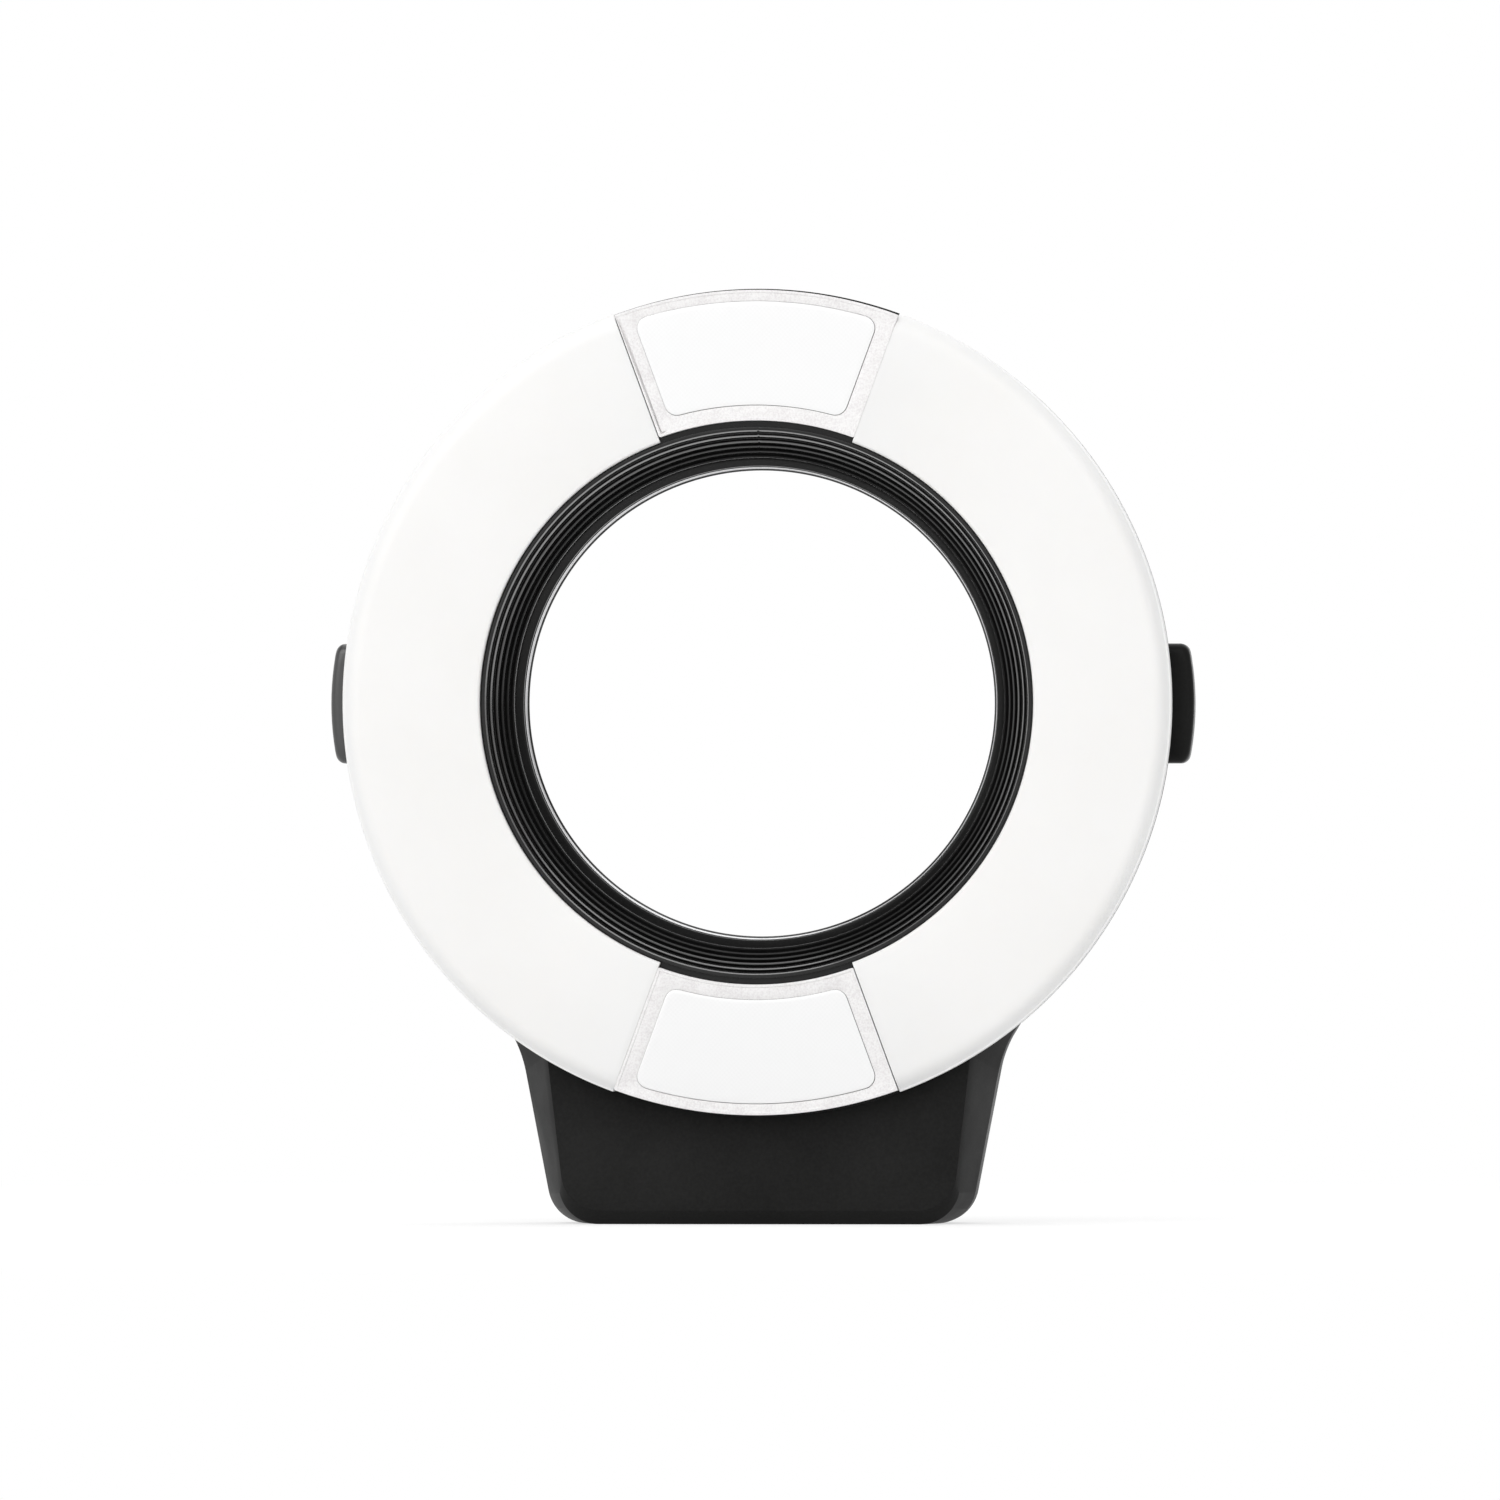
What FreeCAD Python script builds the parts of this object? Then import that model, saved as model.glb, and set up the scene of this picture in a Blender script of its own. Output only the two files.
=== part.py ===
import FreeCAD, Part
import math
import os

# Ring flash head for close-up photography, in millimetres.
# The front faces -Y and +Z is up. The origin is the centre of the adapter seat, on the rear plane.
# A depth is a distance in front of the rear plane, so a depth of d lies at y = -d.

Vector = FreeCAD.Vector
ORIGIN = Vector(0, 0, 0)
FRONTWARD = Vector(0, -1, 0)
REARWARD = Vector(0, 1, 0)
SIDEWAYS = Vector(1, 0, 0)
UPWARD = Vector(0, 0, 1)

# Gaps
fit_gap = 0.05
close_gap = 0.3
overshoot = 1.0

# Lens bore, bright ring in the throat and adapter seat
lens_bore_radius = 35.0
bore_ring_wall = 2.6
bore_ring_nose = 0.6
seat_step = 2.5
seat_wall = 1.5
seat_depth = 10.0
register_length = 3.0
register_clearance = 0.6

# Ribbed baffle
throat_step = 0.75
throat_taper = 1.25
rib_count = 5
rib_pitch = 0.74
rib_step = 1.6
lip_drop = 1.0
lip_land = 0.55
lip_gap = 0.15
baffle_foot = 3.4
baffle_flange = 2.2
flange_thickness = 1.3
flange_drop = 2.4

# Latches
latch_travel = 2.0
latch_thickness = 1.2
latch_gap = 0.35
loop_gap = 0.3
loop_width = 5.7
hook_reach = 0.9
hook_half_width = 6.0
hook_lead = 0.7
stem_half_width = 5.0
stem_slot_half_width = 2.2
retainer_thickness = 1.0
retainer_rim = 0.4
retainer_screw_clearance = 0.5

# Button springs and the posts they push on
spring_length = 7.0
spring_radius = 1.25
spring_wire = 0.4
spring_turns = 3
post_thickness = 1.2
post_half_width = 1.8

# Release buttons
button_stand = 4.0
button_height = 18.0
button_rear_gap = 0.4
button_thickness = 8.2
button_round = 1.5
button_edge_chamfer = 0.6
button_crown = 0.5
button_flange = 1.4
button_flange_thickness = 1.6
button_room = 3.8
button_socket = 1.5

# Body shell and rear cover
body_wall = 2.1
cover_thickness = 2.2
cover_chamfer = 0.8
partition_clearance = 0.8
partition_thickness = 1.4
seam_rib_thickness = 1.2

# Front covers
front_depth = 28.0
cover_overhang = 0.6
cover_skirt = 6.4
cover_bevel = 1.1
cover_wall = 1.7
seam_half_angle = 20.15
seam_gap = 0.2

# Focus light windows
bezel_step = 0.75
window_inner_border = 2.25
window_outer_border = 2.0
window_side_border = 2.4
window_corner = 1.9
window_gap = 0.1
lens_recess = 0.15
lens_flange = 0.8
lens_flange_thickness = 1.0

# Box below the ring
box_drop = 16.1
box_shoulder_rise = 9.4
box_top_rise = 17.4
box_flare_half = 41.0
box_shoulder_half = 36.2
box_shoulder_round = 4.0
box_bottom_half = 31.2
box_corner_round = 6.0
box_front_drop = 1.0
box_bevel_depth = 10.1
box_bevel_inset = 4.4
box_toe_depth = 2.0
box_toe_rise = 2.0
box_wall = 1.8

# Flash tubes and reflectors
tube_rise = 4.6
tube_radius = 2.0
tube_sides = 8
tube_end_margin = 5.0
electrode_radius = 0.9
electrode_inside = 5.0
electrode_outside = 1.2
boot_length = 5.0
boot_width = 7.0
boot_cap = 0.7
reflector_thickness = 0.5
reflector_lip_drop = 4.0
reflector_side_gap = 1.25

# Focus light boards
led_board_thickness = 1.2
led_board_margin = 1.3
led_board_inset = 3.4
led_rest_height = 1.6
led_rest_width = 2.0
led_rest_angle = 8.0
led_row_offset = 2.85
led_columns = 4
led_column_angle = 7.6
led_size = 3.0
led_height = 1.0

# Trigger electronics in the box
board_headroom = 8.6
board_thickness = 1.2
board_half_width = 21.0
board_height = 11.1
board_rise = 3.5
standoff_inset = 3.0
standoff_radius = 2.1
coil_half_width = 2.5
winding_radius = 2.1
coil_gap = 1.6
coil_flange = 0.7
coil_x = 4.6
capacitor_radius = 2.8
capacitor_x = 11.5
capacitor_rise = 4.2
connector_width = 8.0
connector_height = 4.0
connector_depth = 3.6
connector_wall = 0.6
connector_x = 10.0
connector_rise = 4.6

# Inlet for the lead
gland_rise = 10.1
gland_radius = 4.2
gland_bore_radius = 2.4
gland_flange = 1.1
gland_flange_thickness = 2.8

# Screws
screw_radius = 0.85
screw_sides = 6
screw_head_sides = 12
screw_head_radius = 1.6
screw_head_height = 1.0
screw_length = 4.0
boss_radius = 2.1
boss_wall_gap = 0.8
cover_screw_angles = (35.0, 145.0)
cover_screw_box_inset = 6.2
counterbore_radius = 1.9
counterbore_depth = 1.2

# Radii that follow from the lens bore outwards
bore_ring_radius = lens_bore_radius + bore_ring_wall
throat_radius = lens_bore_radius + throat_step
seat_radius = lens_bore_radius + seat_step
hook_radius = seat_radius - hook_reach
register_radius = hook_radius - register_clearance
seat_outer_radius = seat_radius + seat_wall
loop_radius = seat_outer_radius + loop_gap + loop_width
post_inner_x = loop_radius + latch_travel + close_gap
post_outer_x = post_inner_x + post_thickness
button_inner_x = post_outer_x + spring_length
retainer_screw_radius = loop_radius + latch_travel + boss_radius + retainer_screw_clearance
retainer_radius = retainer_screw_radius + boss_radius + retainer_rim
body_bore_radius = button_inner_x + button_room
body_radius = body_bore_radius + body_wall
cover_radius = body_radius + cover_overhang
button_reach = body_radius + button_stand
lip_radius = throat_radius + throat_taper + rib_count * rib_pitch + lip_land
flash_inner_radius = lip_radius + lip_gap
baffle_flange_radius = flash_inner_radius + baffle_flange
baffle_outer_radius = bore_ring_radius + baffle_foot
bezel_inner_radius = flash_inner_radius + bezel_step
window_inner_radius = bezel_inner_radius + window_inner_border
window_outer_radius = cover_radius - window_outer_border
tube_ring_radius = (baffle_flange_radius + body_bore_radius) / 2
reflector_half_width = (body_bore_radius - baffle_flange_radius) / 2 - reflector_side_gap
led_board_half_width = (body_bore_radius - baffle_flange_radius) / 2 - led_board_margin
cover_screw_ring_radius = body_bore_radius - boss_radius - boss_wall_gap

# Depths that follow from the rear plane and the front
latch_right_rear = cover_thickness + latch_gap
latch_left_rear = latch_right_rear + latch_thickness + latch_gap
retainer_rear = latch_left_rear + latch_thickness + latch_gap
retainer_front = retainer_rear + retainer_thickness
spring_depth = (cover_thickness + retainer_rear) / 2
button_rear = cover_thickness + button_rear_gap
button_front = button_rear + button_thickness
partition_rear = button_front + partition_clearance
partition_front = partition_rear + partition_thickness
throat_rear = seat_depth + close_gap
tube_depth = partition_front + tube_rise
body_rim = front_depth - cover_skirt
cover_inside = front_depth - cover_wall
flange_front = front_depth - flange_drop
flange_rear = flange_front - flange_thickness
box_front = body_rim - box_front_drop
box_bevel_start = box_front - box_bevel_depth
box_room_front = box_front - box_wall
board_front = box_room_front - board_headroom
board_rear = board_front - board_thickness

# Heights of the box and of what it holds
box_top_z = box_top_rise - body_radius
box_shoulder_z = box_shoulder_rise - body_radius
box_bottom_z = -body_radius - cover_overhang - box_drop
cover_screw_box_x = box_bottom_half - cover_screw_box_inset
cover_screw_box_z = box_bottom_z + cover_screw_box_inset
board_bottom_z = box_bottom_z + board_rise
board_top_z = board_bottom_z + board_height
standoff_x = board_half_width - standoff_inset
standoff_z = board_top_z - standoff_inset
coil_z = board_top_z - coil_half_width
capacitor_z = board_bottom_z + capacitor_rise
connector_z = board_bottom_z + connector_rise
gland_z = box_bottom_z + gland_rise


def turn_about_axis(shape, degrees):
    """Copy of a shape turned about the Y axis, from +X towards +Z."""
    copy = shape.copy()
    copy.rotate(ORIGIN, FRONTWARD, degrees)
    return copy


def other_side(shape):
    """Copy mirrored from right to left."""
    return shape.mirror(ORIGIN, SIDEWAYS)


def upside_down(shape):
    return turn_about_axis(shape, 180)


def outline(corners, place):
    """Closed wire through corners (u, v, round), with a tangent arc at each corner that has a round."""
    points = [place(corner[0], corner[1]) for corner in corners]
    count = len(corners)
    stops = []
    for index, corner in enumerate(corners):
        here = points[index]
        back = points[index - 1] - here
        ahead = points[(index + 1) % count] - here
        if corner[2] == 0:
            stops.append((here, None, here))
            continue
        half = back.getAngle(ahead) / 2
        back.normalize()
        ahead.normalize()
        reach = corner[2] / math.tan(half)
        middle = back + ahead
        middle.normalize()
        crest = here + middle * (corner[2] / math.sin(half) - corner[2])
        stops.append((here + back * reach, crest, here + ahead * reach))
    edges = []
    for index, (enter, crest, leave) in enumerate(stops):
        if crest is not None:
            edges.append(Part.Arc(enter, crest, leave).toShape())
        following = stops[(index + 1) % count][0]
        edges.append(Part.LineSegment(leave, following).toShape())
    return Part.Wire(edges)


def revolved(corners, start=0.0, sweep=360.0):
    """Solid turned about the Y axis from an outline of (radius, depth, round) corners."""
    wire = outline(corners, lambda radius, depth: Vector(radius, -depth, 0))
    solid = Part.Face(wire).revolve(ORIGIN, FRONTWARD, sweep)
    if solid.Volume < 0:
        solid.reverse()
    return turn_about_axis(solid, start)


def ring(inner, outer, rear, front):
    corners = [(inner, rear, 0), (outer, rear, 0), (outer, front, 0), (inner, front, 0)]
    return revolved(corners)


def prism(corners, rear, front):
    """Solid between two depths from an outline of (x, z, round) corners."""
    wire = outline(corners, lambda x, z: Vector(x, -rear, z))
    return Part.Face(wire).extrude(Vector(0, rear - front, 0))


def block(x0, x1, z0, z1, rear, front):
    return Part.makeBox(x1 - x0, front - rear, z1 - z0, Vector(x0, -front, z0))


def rod(radius, x, z, rear, front):
    """Cylinder along the depth."""
    return Part.makeCylinder(radius, front - rear, Vector(x, -front, z), REARWARD)


def polar(radius, degrees):
    angle = math.radians(degrees)
    return radius * math.cos(angle), radius * math.sin(angle)


def seam_wedge(inset):
    """Wedge about +Z between the two seams, each side moved inwards by the inset."""
    half = math.radians(seam_half_angle)
    reach = 2 * cover_radius
    apex = inset / math.sin(half)
    side = reach * math.sin(half)
    top = apex + reach * math.cos(half)
    corners = [(0, apex, 0), (side, top, 0), (-side, top, 0)]
    return prism(corners, -overshoot, front_depth + overshoot)


def both_wedges(inset):
    return seam_wedge(inset).fuse(upside_down(seam_wedge(inset)))


def right_half():
    reach = 2 * cover_radius
    return block(0, reach, -reach, reach, -overshoot, front_depth + overshoot)


def sector(inner, outer, inset, rear, front, corner=0.0):
    """Ring sector about +Z whose sides keep a constant distance from the seams."""
    shape = ring(inner, outer, rear, front).common(seam_wedge(inset))
    if corner == 0:
        return shape
    uprights = []
    for edge in shape.Edges:
        box = edge.BoundBox
        if box.YLength > front - rear - fit_gap and box.XLength + box.ZLength < fit_gap:
            uprights.append(edge)
    return shape.makeFillet(corner, uprights)


def cover_skin(inner):
    """Solid of revolution of the front covers, with a bevelled outer edge."""
    return revolved([
        (inner, flange_front, 0),
        (inner, front_depth, 0),
        (cover_radius - cover_bevel, front_depth, 0),
        (cover_radius, front_depth - cover_bevel, 0),
        (cover_radius, body_rim, 0),
        (baffle_flange_radius, body_rim, 0),
        (baffle_flange_radius, flange_front, 0),
    ])


def cover_hollow(inner):
    """Room inside the front covers."""
    return revolved([
        (inner + cover_wall, flange_front - overshoot, 0),
        (inner + cover_wall, cover_inside, 0),
        (cover_radius - cover_wall, cover_inside, 0),
        (cover_radius - cover_wall, body_rim - overshoot, 0),
        (baffle_flange_radius, body_rim - overshoot, 0),
        (baffle_flange_radius, flange_front - overshoot, 0),
    ])


def flash_diffuser():
    """Milky cover of the right flash tube."""
    inset = -seam_gap / 2
    skin = cover_skin(flash_inner_radius).cut(both_wedges(inset))
    room = cover_hollow(flash_inner_radius).cut(both_wedges(inset - cover_wall))
    return skin.common(right_half()).cut(room)


def focus_bezel():
    """Frosted frame of the upper focus light."""
    inset = seam_gap / 2
    skin = cover_skin(bezel_inner_radius).common(seam_wedge(inset))
    room = cover_hollow(bezel_inner_radius).common(seam_wedge(inset + cover_wall))
    window = sector(window_inner_radius, window_outer_radius, window_side_border,
                    cover_inside - overshoot, front_depth + overshoot, window_corner)
    return skin.cut(room).cut(window)


def focus_lens():
    """Clear window of the upper focus light, with a flange behind its frame."""
    pane = sector(window_inner_radius + window_gap, window_outer_radius - window_gap,
                  window_side_border + window_gap, cover_inside, front_depth - lens_recess,
                  window_corner - window_gap)
    flange_outer = min(window_outer_radius + lens_flange, cover_radius - cover_wall - fit_gap)
    flange = sector(window_inner_radius - lens_flange / 2, flange_outer,
                    window_side_border - lens_flange / 2, cover_inside - lens_flange_thickness, cover_inside)
    return pane.fuse(flange)


def box_wire(depth, inset, corner_share):
    """Section of the box at a depth: straight at the rear, bevelled towards its front face."""
    along = max(0.0, depth - box_bevel_start) / (box_front - box_bevel_start)
    side = inset + box_bevel_inset * along
    toe = max(0.0, depth - box_front + box_toe_depth) / box_toe_depth
    floor = box_bottom_z + inset + box_toe_rise * toe
    shoulder = box_shoulder_half - side
    foot = box_bottom_half - side / 2 - inset / 2
    flare = box_flare_half - side
    corners = [
        (flare, box_top_z, 0),
        (-flare, box_top_z, 0),
        (-shoulder, box_shoulder_z, box_shoulder_round * corner_share),
        (-foot, floor, box_corner_round * corner_share),
        (foot, floor, box_corner_round * corner_share),
        (shoulder, box_shoulder_z, box_shoulder_round * corner_share),
    ]
    return outline(corners, lambda x, z: Vector(x, -depth, z))


def box_block(stations, corner_share=1):
    """Loft through the box's sections at (depth, inset) stations, with sharp corners at a share of 0."""
    pieces = []
    for near, far in zip(stations, stations[1:]):
        wires = [box_wire(*near, corner_share), box_wire(*far, corner_share)]
        pieces.append(Part.makeLoft(wires, True, True))
    solid = pieces[0]
    for piece in pieces[1:]:
        solid = solid.fuse(piece)
    return solid


def cover_screw_places():
    places = [polar(cover_screw_ring_radius, angle) for angle in cover_screw_angles]
    return places + [(side * cover_screw_box_x, cover_screw_box_z) for side in (-1, 1)]


def retainer_screw_places():
    """One screw between every two neighbours of the axes X and Z."""
    return [polar(retainer_screw_radius, 90 * (quarter + 0.5)) for quarter in range(4)]


def button_slot():
    """Room for the right release button's cap in the body wall."""
    half = button_height / 2 + close_gap
    return block(body_bore_radius - 3 * overshoot, button_reach, -half, half,
                 cover_thickness - overshoot, button_front + close_gap)


def front_body():
    """Main shell: ring wall, box and the partition behind the flash tubes, which carries the baffle."""
    toe_start = box_front - box_toe_depth
    stations = [(cover_thickness, 0), (box_bevel_start, 0), (toe_start, 0), (box_front, 0)]
    shell = rod(body_radius, 0, 0, cover_thickness, body_rim).fuse(box_block(stations))
    shell = shell.cut(rod(body_bore_radius, 0, 0, 0, front_depth))
    inner = [(cover_thickness - overshoot, box_wall), (box_bevel_start, box_wall), (box_room_front, box_wall)]
    room = box_block(inner, 0).cut(rod(body_radius, 0, 0, partition_rear, front_depth))
    shell = shell.cut(room)
    shell = shell.fuse(ring(bore_ring_radius + fit_gap, body_bore_radius, partition_rear, partition_front))
    for rib in compartment_ribs():
        shell = shell.fuse(rib)
    for x, z in cover_screw_places():
        top = box_room_front if z < box_shoulder_z else partition_rear
        shell = shell.fuse(rod(boss_radius, x, z, cover_thickness, top))
    for side in (-1, 1):
        shell = shell.fuse(rod(standoff_radius, side * standoff_x, standoff_z, board_front, box_room_front))
    return shell.cut(body_holes()).removeSplitter()


def body_holes():
    """Slots for the buttons and screw holes in the body."""
    holes = [button_slot(), other_side(button_slot())]
    for x, z in cover_screw_places():
        holes.append(rod(screw_radius + fit_gap, x, z, cover_thickness - overshoot,
                         counterbore_depth + screw_length + close_gap))
    for side in (-1, 1):
        holes.append(rod(screw_radius + fit_gap, side * standoff_x, standoff_z, board_front - overshoot,
                         board_rear + screw_length + close_gap))
    cut = holes[0]
    for hole in holes[1:]:
        cut = cut.fuse(hole)
    return cut


def compartment_ribs():
    """Dark walls under the four seams, and the low ribs that the two focus light boards lie on."""
    half = seam_rib_thickness / 2
    wall = block(baffle_flange_radius, body_bore_radius + fit_gap, -half, half,
                 partition_front, body_rim - fit_gap)
    half = led_rest_width / 2
    rest = block(tube_ring_radius - led_board_half_width, tube_ring_radius + led_board_half_width, -half, half,
                 partition_front, partition_front + led_rest_height)
    ribs = []
    for rib, angle in ((wall, seam_half_angle), (rest, led_rest_angle)):
        for side in (-1, 1):
            upper = turn_about_axis(rib, 90 + side * angle)
            ribs += [upper, upside_down(upper)]
    return ribs


def ribbed_baffle():
    """Funnel with concentric anti-glare ribs, from the front lip down to the throat."""
    depth = front_depth - lip_drop
    radius = lip_radius - lip_land
    corners = [(lip_radius, depth, 0), (radius, depth, 0)]
    for index in range(rib_count):
        depth -= rib_step
        corners.append((radius, depth, 0))
        radius -= rib_pitch
        corners.append((radius, depth, 0))
    corners += [
        (throat_radius, partition_front, 0),
        (baffle_outer_radius, partition_front, 0),
        (baffle_outer_radius, flange_rear, 0),
        (baffle_flange_radius, flange_rear, 0),
        (baffle_flange_radius, flange_front, 0),
        (lip_radius, flange_front, 0),
    ]
    return revolved(corners)


def bore_ring():
    """Bright metal ring in the partition, under the baffle, with a sloped nose that shows from the front."""
    return revolved([
        (lens_bore_radius, throat_rear, 0),
        (bore_ring_radius, throat_rear, 0),
        (bore_ring_radius, partition_front, 0),
        (throat_radius - fit_gap, partition_front, 0),
        (lens_bore_radius, partition_front + bore_ring_nose, 0),
    ])


def hook_window(rear):
    """Opening on the left of the seat wall, for the hook in the layer that starts at this depth."""
    half = hook_half_width + close_gap
    return block(-seat_outer_radius - overshoot, -seat_radius + 2 * overshoot, -half, half,
                 rear - close_gap, rear + latch_thickness + close_gap)


def spring_post():
    """Stop on the rear cover for the inner end of the right spring."""
    return block(post_inner_x, post_outer_x, -post_half_width, post_half_width, cover_thickness, retainer_rear)


def rear_cover():
    """Back shell with the adapter seat, the spring posts and the bosses for the retainer."""
    rim_corners = [
        (0, 0, 0),
        (body_radius - cover_chamfer, 0, 0),
        (body_radius, cover_chamfer, 0),
        (body_radius, cover_thickness, 0),
        (0, cover_thickness, 0),
    ]
    stations = [(0, cover_chamfer), (cover_chamfer, 0), (cover_thickness, 0)]
    cover = revolved(rim_corners).fuse(box_block(stations))
    cover = cover.fuse(rod(seat_outer_radius, 0, 0, 0, seat_depth))
    cover = cover.cut(rod(seat_radius, 0, 0, -overshoot, seat_depth - register_length))
    cover = cover.cut(rod(register_radius, 0, 0, 0, seat_depth + overshoot))
    cover = cover.cut(hook_window(latch_right_rear))
    cover = cover.cut(other_side(hook_window(latch_left_rear)))
    cover = cover.fuse(spring_post()).fuse(other_side(spring_post()))
    for x, z in retainer_screw_places():
        cover = cover.fuse(rod(boss_radius, x, z, cover_thickness, retainer_rear))
        cover = cover.cut(rod(screw_radius + fit_gap, x, z,
                              retainer_front - screw_length - close_gap, retainer_rear + overshoot))
    for x, z in cover_screw_places():
        cover = cover.cut(rod(counterbore_radius, x, z, -overshoot, counterbore_depth))
        cover = cover.cut(rod(screw_radius + fit_gap, x, z, 0, cover_thickness + overshoot))
    cover = cover.cut(rod(gland_radius + fit_gap, 0, gland_z, -overshoot, cover_thickness + overshoot))
    return cover.removeSplitter()


def latch_retainer():
    """Eight-sided plate that keeps both latch plates in their layers."""
    plate = prism(regular_corners(retainer_radius, 0, 0, 8), retainer_rear, retainer_front)
    below = retainer_rear - overshoot
    above = retainer_front + overshoot
    plate = plate.cut(rod(seat_outer_radius + close_gap, 0, 0, below, above))
    for x, z in retainer_screw_places():
        plate = plate.cut(rod(screw_radius + fit_gap, x, z, below, above))
    return plate


def latch_plate(rear):
    """Loop of the right button round the seat wall, with its hook on the far, left side."""
    front = rear + latch_thickness
    inside = seat_outer_radius + loop_gap
    loop = ring(inside, loop_radius, rear, front)
    loop = loop.cut(rod(inside, latch_travel, 0, rear - overshoot, front + overshoot))
    loop = loop.cut(block(0, latch_travel, -inside, inside, rear - overshoot, front + overshoot))
    hook_corners = [
        (hook_radius + hook_lead, rear, 0),
        (inside + overshoot, rear, 0),
        (inside + overshoot, front, 0),
        (hook_radius, front, 0),
        (hook_radius, rear + hook_lead, 0),
    ]
    hook_room = block(-loop_radius, 0, -hook_half_width, hook_half_width, rear - overshoot, front + overshoot)
    hook = revolved(hook_corners).common(hook_room)
    stem_end = button_inner_x + button_socket
    stem = block(loop_radius - 2 * overshoot, stem_end, -stem_half_width, stem_half_width, rear, front)
    slot = block(post_inner_x - close_gap, stem_end + overshoot, -stem_slot_half_width, stem_slot_half_width,
                 rear - overshoot, front + overshoot)
    return loop.fuse(hook).fuse(stem).cut(slot).removeSplitter()


def release_button(latch_rear):
    """Right button: a crowned cap outside the wall, a flange inside it and a socket for the stem."""
    half = button_height / 2
    flange_half = half + button_flange
    flange_outer = math.sqrt(body_bore_radius ** 2 - flange_half ** 2) - close_gap
    flange_inner = flange_outer - button_flange_thickness
    cap = prism([
        (button_inner_x, -half, 0),
        (button_reach - button_crown, -half, button_round),
        (button_reach + button_crown, 0, half ** 2 / (4 * button_crown)),
        (button_reach - button_crown, half, button_round),
        (button_inner_x, half, 0),
    ], button_rear, button_front)
    rim_x = button_reach - 3 * button_crown
    rim = [edge for edge in cap.Edges if edge.BoundBox.YLength < fit_gap and edge.CenterOfMass.x > rim_x]
    cap = cap.makeChamfer(button_edge_chamfer, rim)
    flange = block(flange_inner, flange_outer, -flange_half, flange_half,
                   cover_thickness + close_gap, button_front)
    socket_half = stem_half_width + fit_gap
    socket = block(button_inner_x - overshoot, button_inner_x + button_socket + fit_gap,
                   -socket_half, socket_half,
                   latch_rear - fit_gap, latch_rear + latch_thickness + fit_gap)
    tongue = block(button_inner_x, button_inner_x + button_socket + overshoot,
                   -stem_slot_half_width + fit_gap, stem_slot_half_width - fit_gap, button_rear, button_front)
    return cap.fuse(flange).cut(socket).fuse(tongue).removeSplitter()


def biarc(start, start_way, end, end_way):
    """Two arcs that leave start along start_way, meet smoothly and reach end along end_way."""
    span = end - start
    ways = start_way + end_way
    turn = 2 * (1 - start_way.dot(end_way))
    lead = span.dot(ways)
    if turn < 1e-9:
        reach = span.dot(span) / (2 * lead)
    else:
        reach = (math.sqrt(lead ** 2 + turn * span.dot(span)) - lead) / turn
    first = start + start_way * reach
    second = end - end_way * reach
    meet = (first + second) * 0.5
    return [tangent_arc(start, first, meet), tangent_arc(meet, second, end)]


def tangent_arc(start, corner, end):
    """Arc from start to end that is tangent to the lines from the corner to both."""
    middle = (start + end) * 0.5
    chord = (end - start).Length / 2
    side = (corner - start).Length
    rise = (corner - middle).Length
    radius = chord * side / rise
    sagitta = radius - radius * chord / side
    crest = middle + (corner - middle) * (sagitta / rise)
    return Part.Arc(start, crest, end).toShape()


def release_spring():
    """Right compression spring: one wire, wound round the line that the button slides along."""
    stub = spring_wire
    steps = 2 * spring_turns
    advance = (spring_length - 2 * stub - 2 * fit_gap) / steps
    start_x = post_outer_x + fit_gap + stub
    slope = advance / math.pi
    stops = []
    for step in range(steps + 1):
        angle = step * math.pi
        y = spring_radius * math.cos(angle)
        z = spring_radius * math.sin(angle)
        way = Vector(slope, -z, y) if 0 < step < steps else Vector(1, 0, 0)
        way.normalize()
        stops.append((Vector(start_x + step * advance, y - spring_depth, z), way))
    stub_way = Vector(stub, 0, 0)
    lead_in = stops[0][0] - stub_way
    edges = [Part.LineSegment(lead_in, stops[0][0]).toShape()]
    for near, far in zip(stops, stops[1:]):
        edges += biarc(near[0], near[1], far[0], far[1])
    edges.append(Part.LineSegment(stops[-1][0], stops[-1][0] + stub_way).toShape())
    half = spring_wire / 2
    rim = [lead_in + Vector(0, y, z) for y, z in ((half, half), (-half, half), (-half, -half), (half, -half))]
    section = Part.makePolygon(rim + rim[:1])
    return Part.Wire(edges).makePipeShell([section], True, False)


def regular_corners(radius, u, v, sides):
    """Corners of an even polygon round (u, v), its flats at the given radius."""
    reach = radius / math.cos(math.pi / sides)
    angles = [math.pi * (2 * side + 1) / sides for side in range(sides)]
    return [(u + reach * math.cos(angle), v + reach * math.sin(angle), 0) for angle in angles]


def screw(x, z, head_depth, seat, tip):
    """Screw along the depth: a head from its top to its seat, and a shank on to its tip."""
    head_flats = screw_head_radius * math.cos(math.pi / screw_head_sides)
    head_corners = regular_corners(head_flats, x, z, screw_head_sides)
    head = prism(head_corners, min(head_depth, seat), max(head_depth, seat))
    shank_flats = screw_radius * math.cos(math.pi / screw_sides)
    shank = prism(regular_corners(shank_flats, x, z, screw_sides), min(seat, tip), max(seat, tip))
    return head.fuse(shank)


def cover_screws():
    """Screws that hold the rear cover to the body, heads in counterbores at the back."""
    head = counterbore_depth - screw_head_height
    return Part.makeCompound([
        screw(x, z, head, counterbore_depth, counterbore_depth + screw_length)
        for x, z in cover_screw_places()
    ])


def retainer_screws():
    head = retainer_front + screw_head_height
    tip = retainer_front - screw_length
    return Part.makeCompound([screw(x, z, head, retainer_front, tip) for x, z in retainer_screw_places()])


def reflector_trough(wall, lip):
    """Trough along the flash tube, smaller by the wall on every side."""
    half = reflector_half_width - wall
    return ring(tube_ring_radius - half, tube_ring_radius + half, partition_front + wall, lip)


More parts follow.
